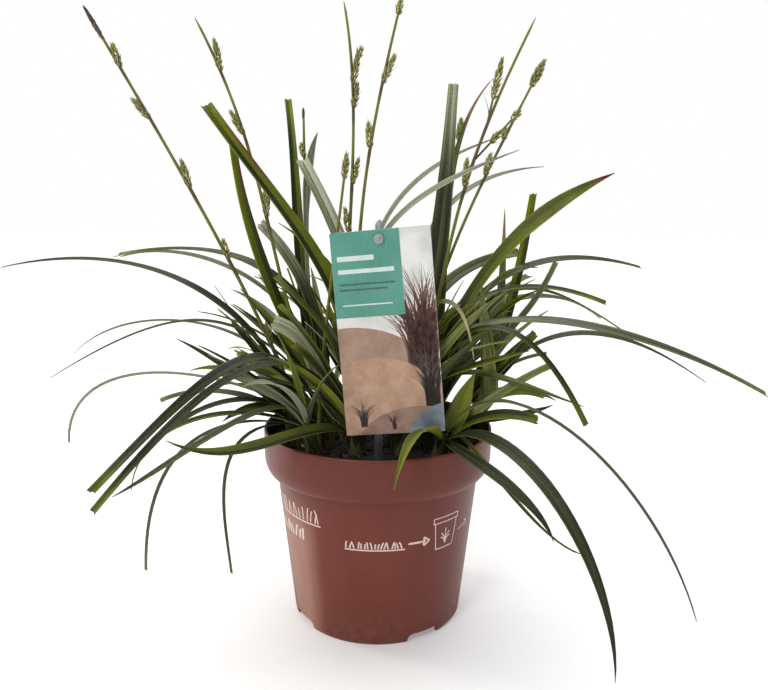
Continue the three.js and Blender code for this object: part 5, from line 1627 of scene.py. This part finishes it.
# %% Flowering stems: the list
# Each has its name, its foot's distance from the middle and angle, its tip's place, lean, fall and
# crook, its side spikes and its kind of tip. A side spike has its share of the way up, its length
# and its side in degrees, and if it stands off, its stalk's length and how far that spreads.
CULMS = (
    ("culm_1", 38.5, 180, (-150, -10, 333), 20, 29, 1.05,
     ((0.23, 13, 0), (0.44, 11, 30), (0.61, 16, 0), (0.77, 13, 180), (0.88, 12, 0)), "dark"),
    ("culm_2", 21.5, 180, (-99, 8, 334), 28, 28, 1.2,
     ((0.55, 20, 0), (0.75, 14, 180), (0.89, 17, 0)), "bare"),
    ("culm_3", 38.5, 150, (-45, 40, 290), 20, 0, 1, ((0.72, 12, 0), (0.86, 8, 200)), "small"),
    ("culm_4", 21.5, 135, (-19, 6, 342), 23, 25, 1,
     ((0.49, 15, 180), (0.6, 15, 0), (0.77, 14, 30), (0.82, 17, 0), (0.84, 5, 0, 10, 0.4)), "bare"),
    ("culm_5", 21.5, 225, (11, -4, 339), 3, 15, 1.4, ((0.72, 13, 180), (0.86, 16, 0)), "short"),
    ("culm_6", 38.5, 210, (-17, -14, 261), 2, 7, 1.2, (), "slim"),
    ("culm_7", 21.5, 315, (82, 0, 333), 14, 27, 1.4,
     ((0.63, 15, 180), (0.7, 7, 0, 13, 0.45), (0.7, 6, 0, 29, 0.45), (0.79, 22, 180, 13, 0.16)), "bare"),
    ("culm_8", 21.5, 45, (92, 24, 315), 10, 27, 1.3, ((0.72, 13, 180), (0.82, 6, 180)), "green"),
    ("culm_9", 38.5, 30, (48, 38, 285), 0, 14, 1, (), "slim"),
)
# the length and radius of the spike at a tip, for each kind that has one
TIP_SPIKES = {"dark": (18, 1.75), "green": (16, 2.6), "short": (7, 2), "small": (7, 1.1), "slim": (13, 1.9)}
DARK_TIPS = {"dark", "small"}
print("side spikes:", sum(len(culm[7]) for culm in CULMS))

# %% Flowering stems: skin
STEM_CORNERS = 9


def across_frame(direction):
    """Two directions square to a third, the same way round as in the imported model."""
    across = Vector((0, 1, 0)).cross(direction).normalized()
    return across, direction.cross(across)


def add_tube(shape, places, radius_of, tone_of, edges=3):
    """A rod through the places, with open ends, its section swelling at its edges."""
    rows = len(places) - 1

    def corner(u, row):
        ahead = places[min(row + 1, rows)] - places[max(row - 1, 0)]
        across, beside = across_frame(ahead.normalized())
        turn = 2 * math.pi * u
        radius = radius_of(row / rows) * (1 + 0.16 * math.cos(edges * turn))
        place = places[row] + (across * math.cos(turn) + beside * math.sin(turn)) * radius
        return place, (u, row / rows * 8), tone_of(row / rows)

    skin = painted_strip(shape, STEM_CORNERS, rows, corner)
    bmesh.ops.remove_doubles(shape, verts=skin, dist=1e-7)


def node_tone(t, nodes):
    """Dark purple-brown at each spike and fading out above it, else the stem's green."""
    below = min((place - t for place in nodes if place >= t), default=1)
    above = min((t - place for place in nodes if place <= t), default=1)
    brown = max(1 - smooth(below / 0.045), 0.85 * (1 - smooth(above / 0.1)))
    return 0.45 + 0.45 * t, 0.15, brown, 0

# %% [markdown]
# ## Spikes
#
# A spike is a dense head of beaked fruits, set in a spiral round a core, each pointing up and out.
# One fruit is an ico sphere drawn out into a beak, with only a dozen corners, because hundreds of
# them are needed. The golden angle turns each one clear of the last, as it does on the plant.

# %% Spikes: one fruit
def add_fruit(shape, layers, foot, direction, length, width, tone):
    fruit = bmesh.ops.create_icosphere(shape, subdivisions=1, radius=0.5)["verts"]
    across, beside = across_frame(direction)
    yellow, pale, brown = tone
    for vert in fruit:
        rise = vert.co.z + 0.5
        pinch = 1 if rise < 0.55 else 1 - 0.55 * smooth((rise - 0.55) / 0.4)
        beak = 0.35 if rise > 0.95 else 0
        place = foot + direction * (rise + beak) * length
        place += (across * vert.co.x + beside * vert.co.y) * width * pinch
        vert.co = place * MM
        scale_brown = max(1 - smooth((rise - 0.12) / 0.3), 0.6 * smooth((rise - 0.85) / 0.3))
        paint_vert(vert, layers, (0.25, rise), (yellow, pale, min(1, brown + scale_brown), 0))

# %% Spikes: the head
GOLDEN_ANGLE = math.radians(137.5)
FRUIT_LENGTH = 3.0
FRUIT_WIDTH = 1.4
FRUITS_PER_MM = 2.2
LEAST_FRUITS = 10
SIDE_SPIKE_RADIUS = 1.9


def add_spike(shape, foot, direction, length, radius, tone, draw, openness=1.0):
    """Fruits in a spiral, widest below the middle."""
    layers = paint_layers(shape)
    across, beside = across_frame(direction)
    count = max(LEAST_FRUITS, round(length * FRUITS_PER_MM))
    for number in range(count):
        share = (number + 0.3) / count
        turn = number * GOLDEN_ANGLE + draw.uniform(-0.2, 0.2)
        out = across * math.cos(turn) + beside * math.sin(turn)
        swell = math.sin(math.pi * (0.16 + 0.76 * share))
        place = foot + direction * length * share * 0.93 + out * radius * swell * 0.45
        lean = (direction + out * (0.5 * (1 - share) + 0.12) * openness).normalized()
        size = draw.uniform(0.85, 1.1) * (0.75 + 0.25 * swell)
        yellow = max(0, min(1, tone[0] + draw.uniform(-0.15, 0.15)))
        pale = min(1, tone[1] + draw.uniform(-0.15, 0.2))
        width = FRUIT_WIDTH * size * radius / SIDE_SPIKE_RADIUS
        add_fruit(shape, layers, place, lean, FRUIT_LENGTH * size, width, (yellow, pale, tone[2]))

# %% Spikes: the bract
BRACT_ROWS = 10
BRACT_WIDTH = 1.3


def add_bract(shape, foot, direction, out, length):
    """A thin pointed leaf that stands under a spike."""
    shoulder = foot + (direction * 0.75 + out * 0.25) * length * 0.7
    tip = foot + (direction * 0.85 + out * 0.5) * length
    curve = (foot, foot + direction * length * 0.35, shoulder, tip)

    def corner(u, row):
        t = row / BRACT_ROWS
        across = curve_tangent(curve, t).cross(out).normalized()
        width = BRACT_WIDTH * (1 - t ** 1.4) + 0.12
        place = curve_point(curve, t) + across * (u - 0.5) * width + out * abs(u - 0.5) * 0.8 * width
        return place, (u, t), (0.5, 0.2, smooth((t - 0.6) / 0.4), 0)

    painted_strip(shape, 2, BRACT_ROWS, corner)

# %% Flowering stems: side spikes
SPIKE_TONE = (0.85, 0.4, 0.0)
STALK_RADIUS = 0.5
STALK_ROWS = 6
BRACT_SHARE = 0.8  # of its spike's length


def add_side_spike(shape, curve, spike, draw):
    t, length, side, *branch = spike
    stalk, spread = branch or (0, 0.22)
    place = curve_point(curve, t)
    direction = curve_tangent(curve, t)
    across, beside = across_frame(direction)
    turn = math.radians(30) * round(side / 30)
    out = across * math.cos(turn) + beside * math.sin(turn)
    lifted = (direction + out * spread).normalized()
    foot = place + lifted * stalk
    if stalk:
        stalk_places = [place.lerp(foot + lifted, row / STALK_ROWS) for row in range(STALK_ROWS + 1)]
        add_tube(shape, stalk_places, lambda t: STALK_RADIUS, lambda t: (0.5, 0.2, 0.3, 0), edges=0)
    add_spike(shape, foot, lifted, length, SIDE_SPIKE_RADIUS, SPIKE_TONE, draw)
    add_bract(shape, place, direction, out, BRACT_SHARE * length)

# %% Flowering stems: one stem
DARK_TONE = (0.3, 0.15, 0.9)
STEM_SINK = 7
STEM_ROWS = 44
STEM_RADIUS = 1.15
STEM_TAPER = 0.5


def add_culm(shape, culm, draw):
    name, distance, angle, tip, lean, fall, crook, spikes, tip_kind = culm
    azimuth = math.radians(angle)
    foot = Vector((distance * math.cos(azimuth), distance * math.sin(azimuth), SOIL_LEVEL))
    curve = arch_curve(foot, Vector(tip), lean, fall, crook, 0)
    places = [foot - curve_tangent(curve, 0) * STEM_SINK]
    places += [curve_point(curve, row / STEM_ROWS) for row in range(STEM_ROWS + 1)]
    nodes = [spike[0] for spike in spikes]

    def radius_of(t):
        taper = 1 - smooth((t - 0.985) / 0.015) * 0.7
        return (STEM_RADIUS - STEM_TAPER * t) * taper * (1 + 0.15 * node_tone(t, nodes)[2])

    add_tube(shape, places, radius_of, lambda t: node_tone(t, nodes))
    for spike in spikes:
        add_side_spike(shape, curve, spike, draw)
    if tip_kind in TIP_SPIKES:
        length, radius = TIP_SPIKES[tip_kind]
        direction = curve_tangent(curve, 1)
        place = Vector(tip) - direction * 0.93 * length
        tone, openness = (DARK_TONE, 0.15) if tip_kind in DARK_TIPS else (SPIKE_TONE, 1.0)
        add_spike(shape, place, direction, length, radius, tone, draw, openness)

# %% Flowering stems: build
culm_palette = {
    "green": (0.05, 0.06, 0.006), "yellow": (0.3, 0.32, 0.02), "deep": (0.03, 0.04, 0.01),
    "shade": (0.03, 0.026, 0.008), "pale": (0.5, 0.5, 0.2), "vein": (0.09, 0.1, 0.02),
    "stripe": (0.55, 0.55, 0.2), "midrib": (0.08, 0.09, 0.02), "margin": (0.2, 0.22, 0.03),
    "brown": (0.05, 0.026, 0.014), "red": (0.04, 0.011, 0.012), "straw": (0.4, 0.3, 0.22),
}
culm_surface = leaf_material("culm_surface", culm_palette, 0.5, 0.03)
CULM_SEEDS = 900
for number, culm in enumerate(CULMS):
    shape = bmesh.new()
    add_culm(shape, culm, random.Random(CULM_SEEDS + number))
    mesh = mesh_from(shape, culm[0] + "_stem")
    mesh.shade_smooth()
    piece = link(culm[0] + "_stem", mesh, [culm_surface])
    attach(piece, "root")
    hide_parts(culm[0])
print("flowering stems:", len(CULMS))
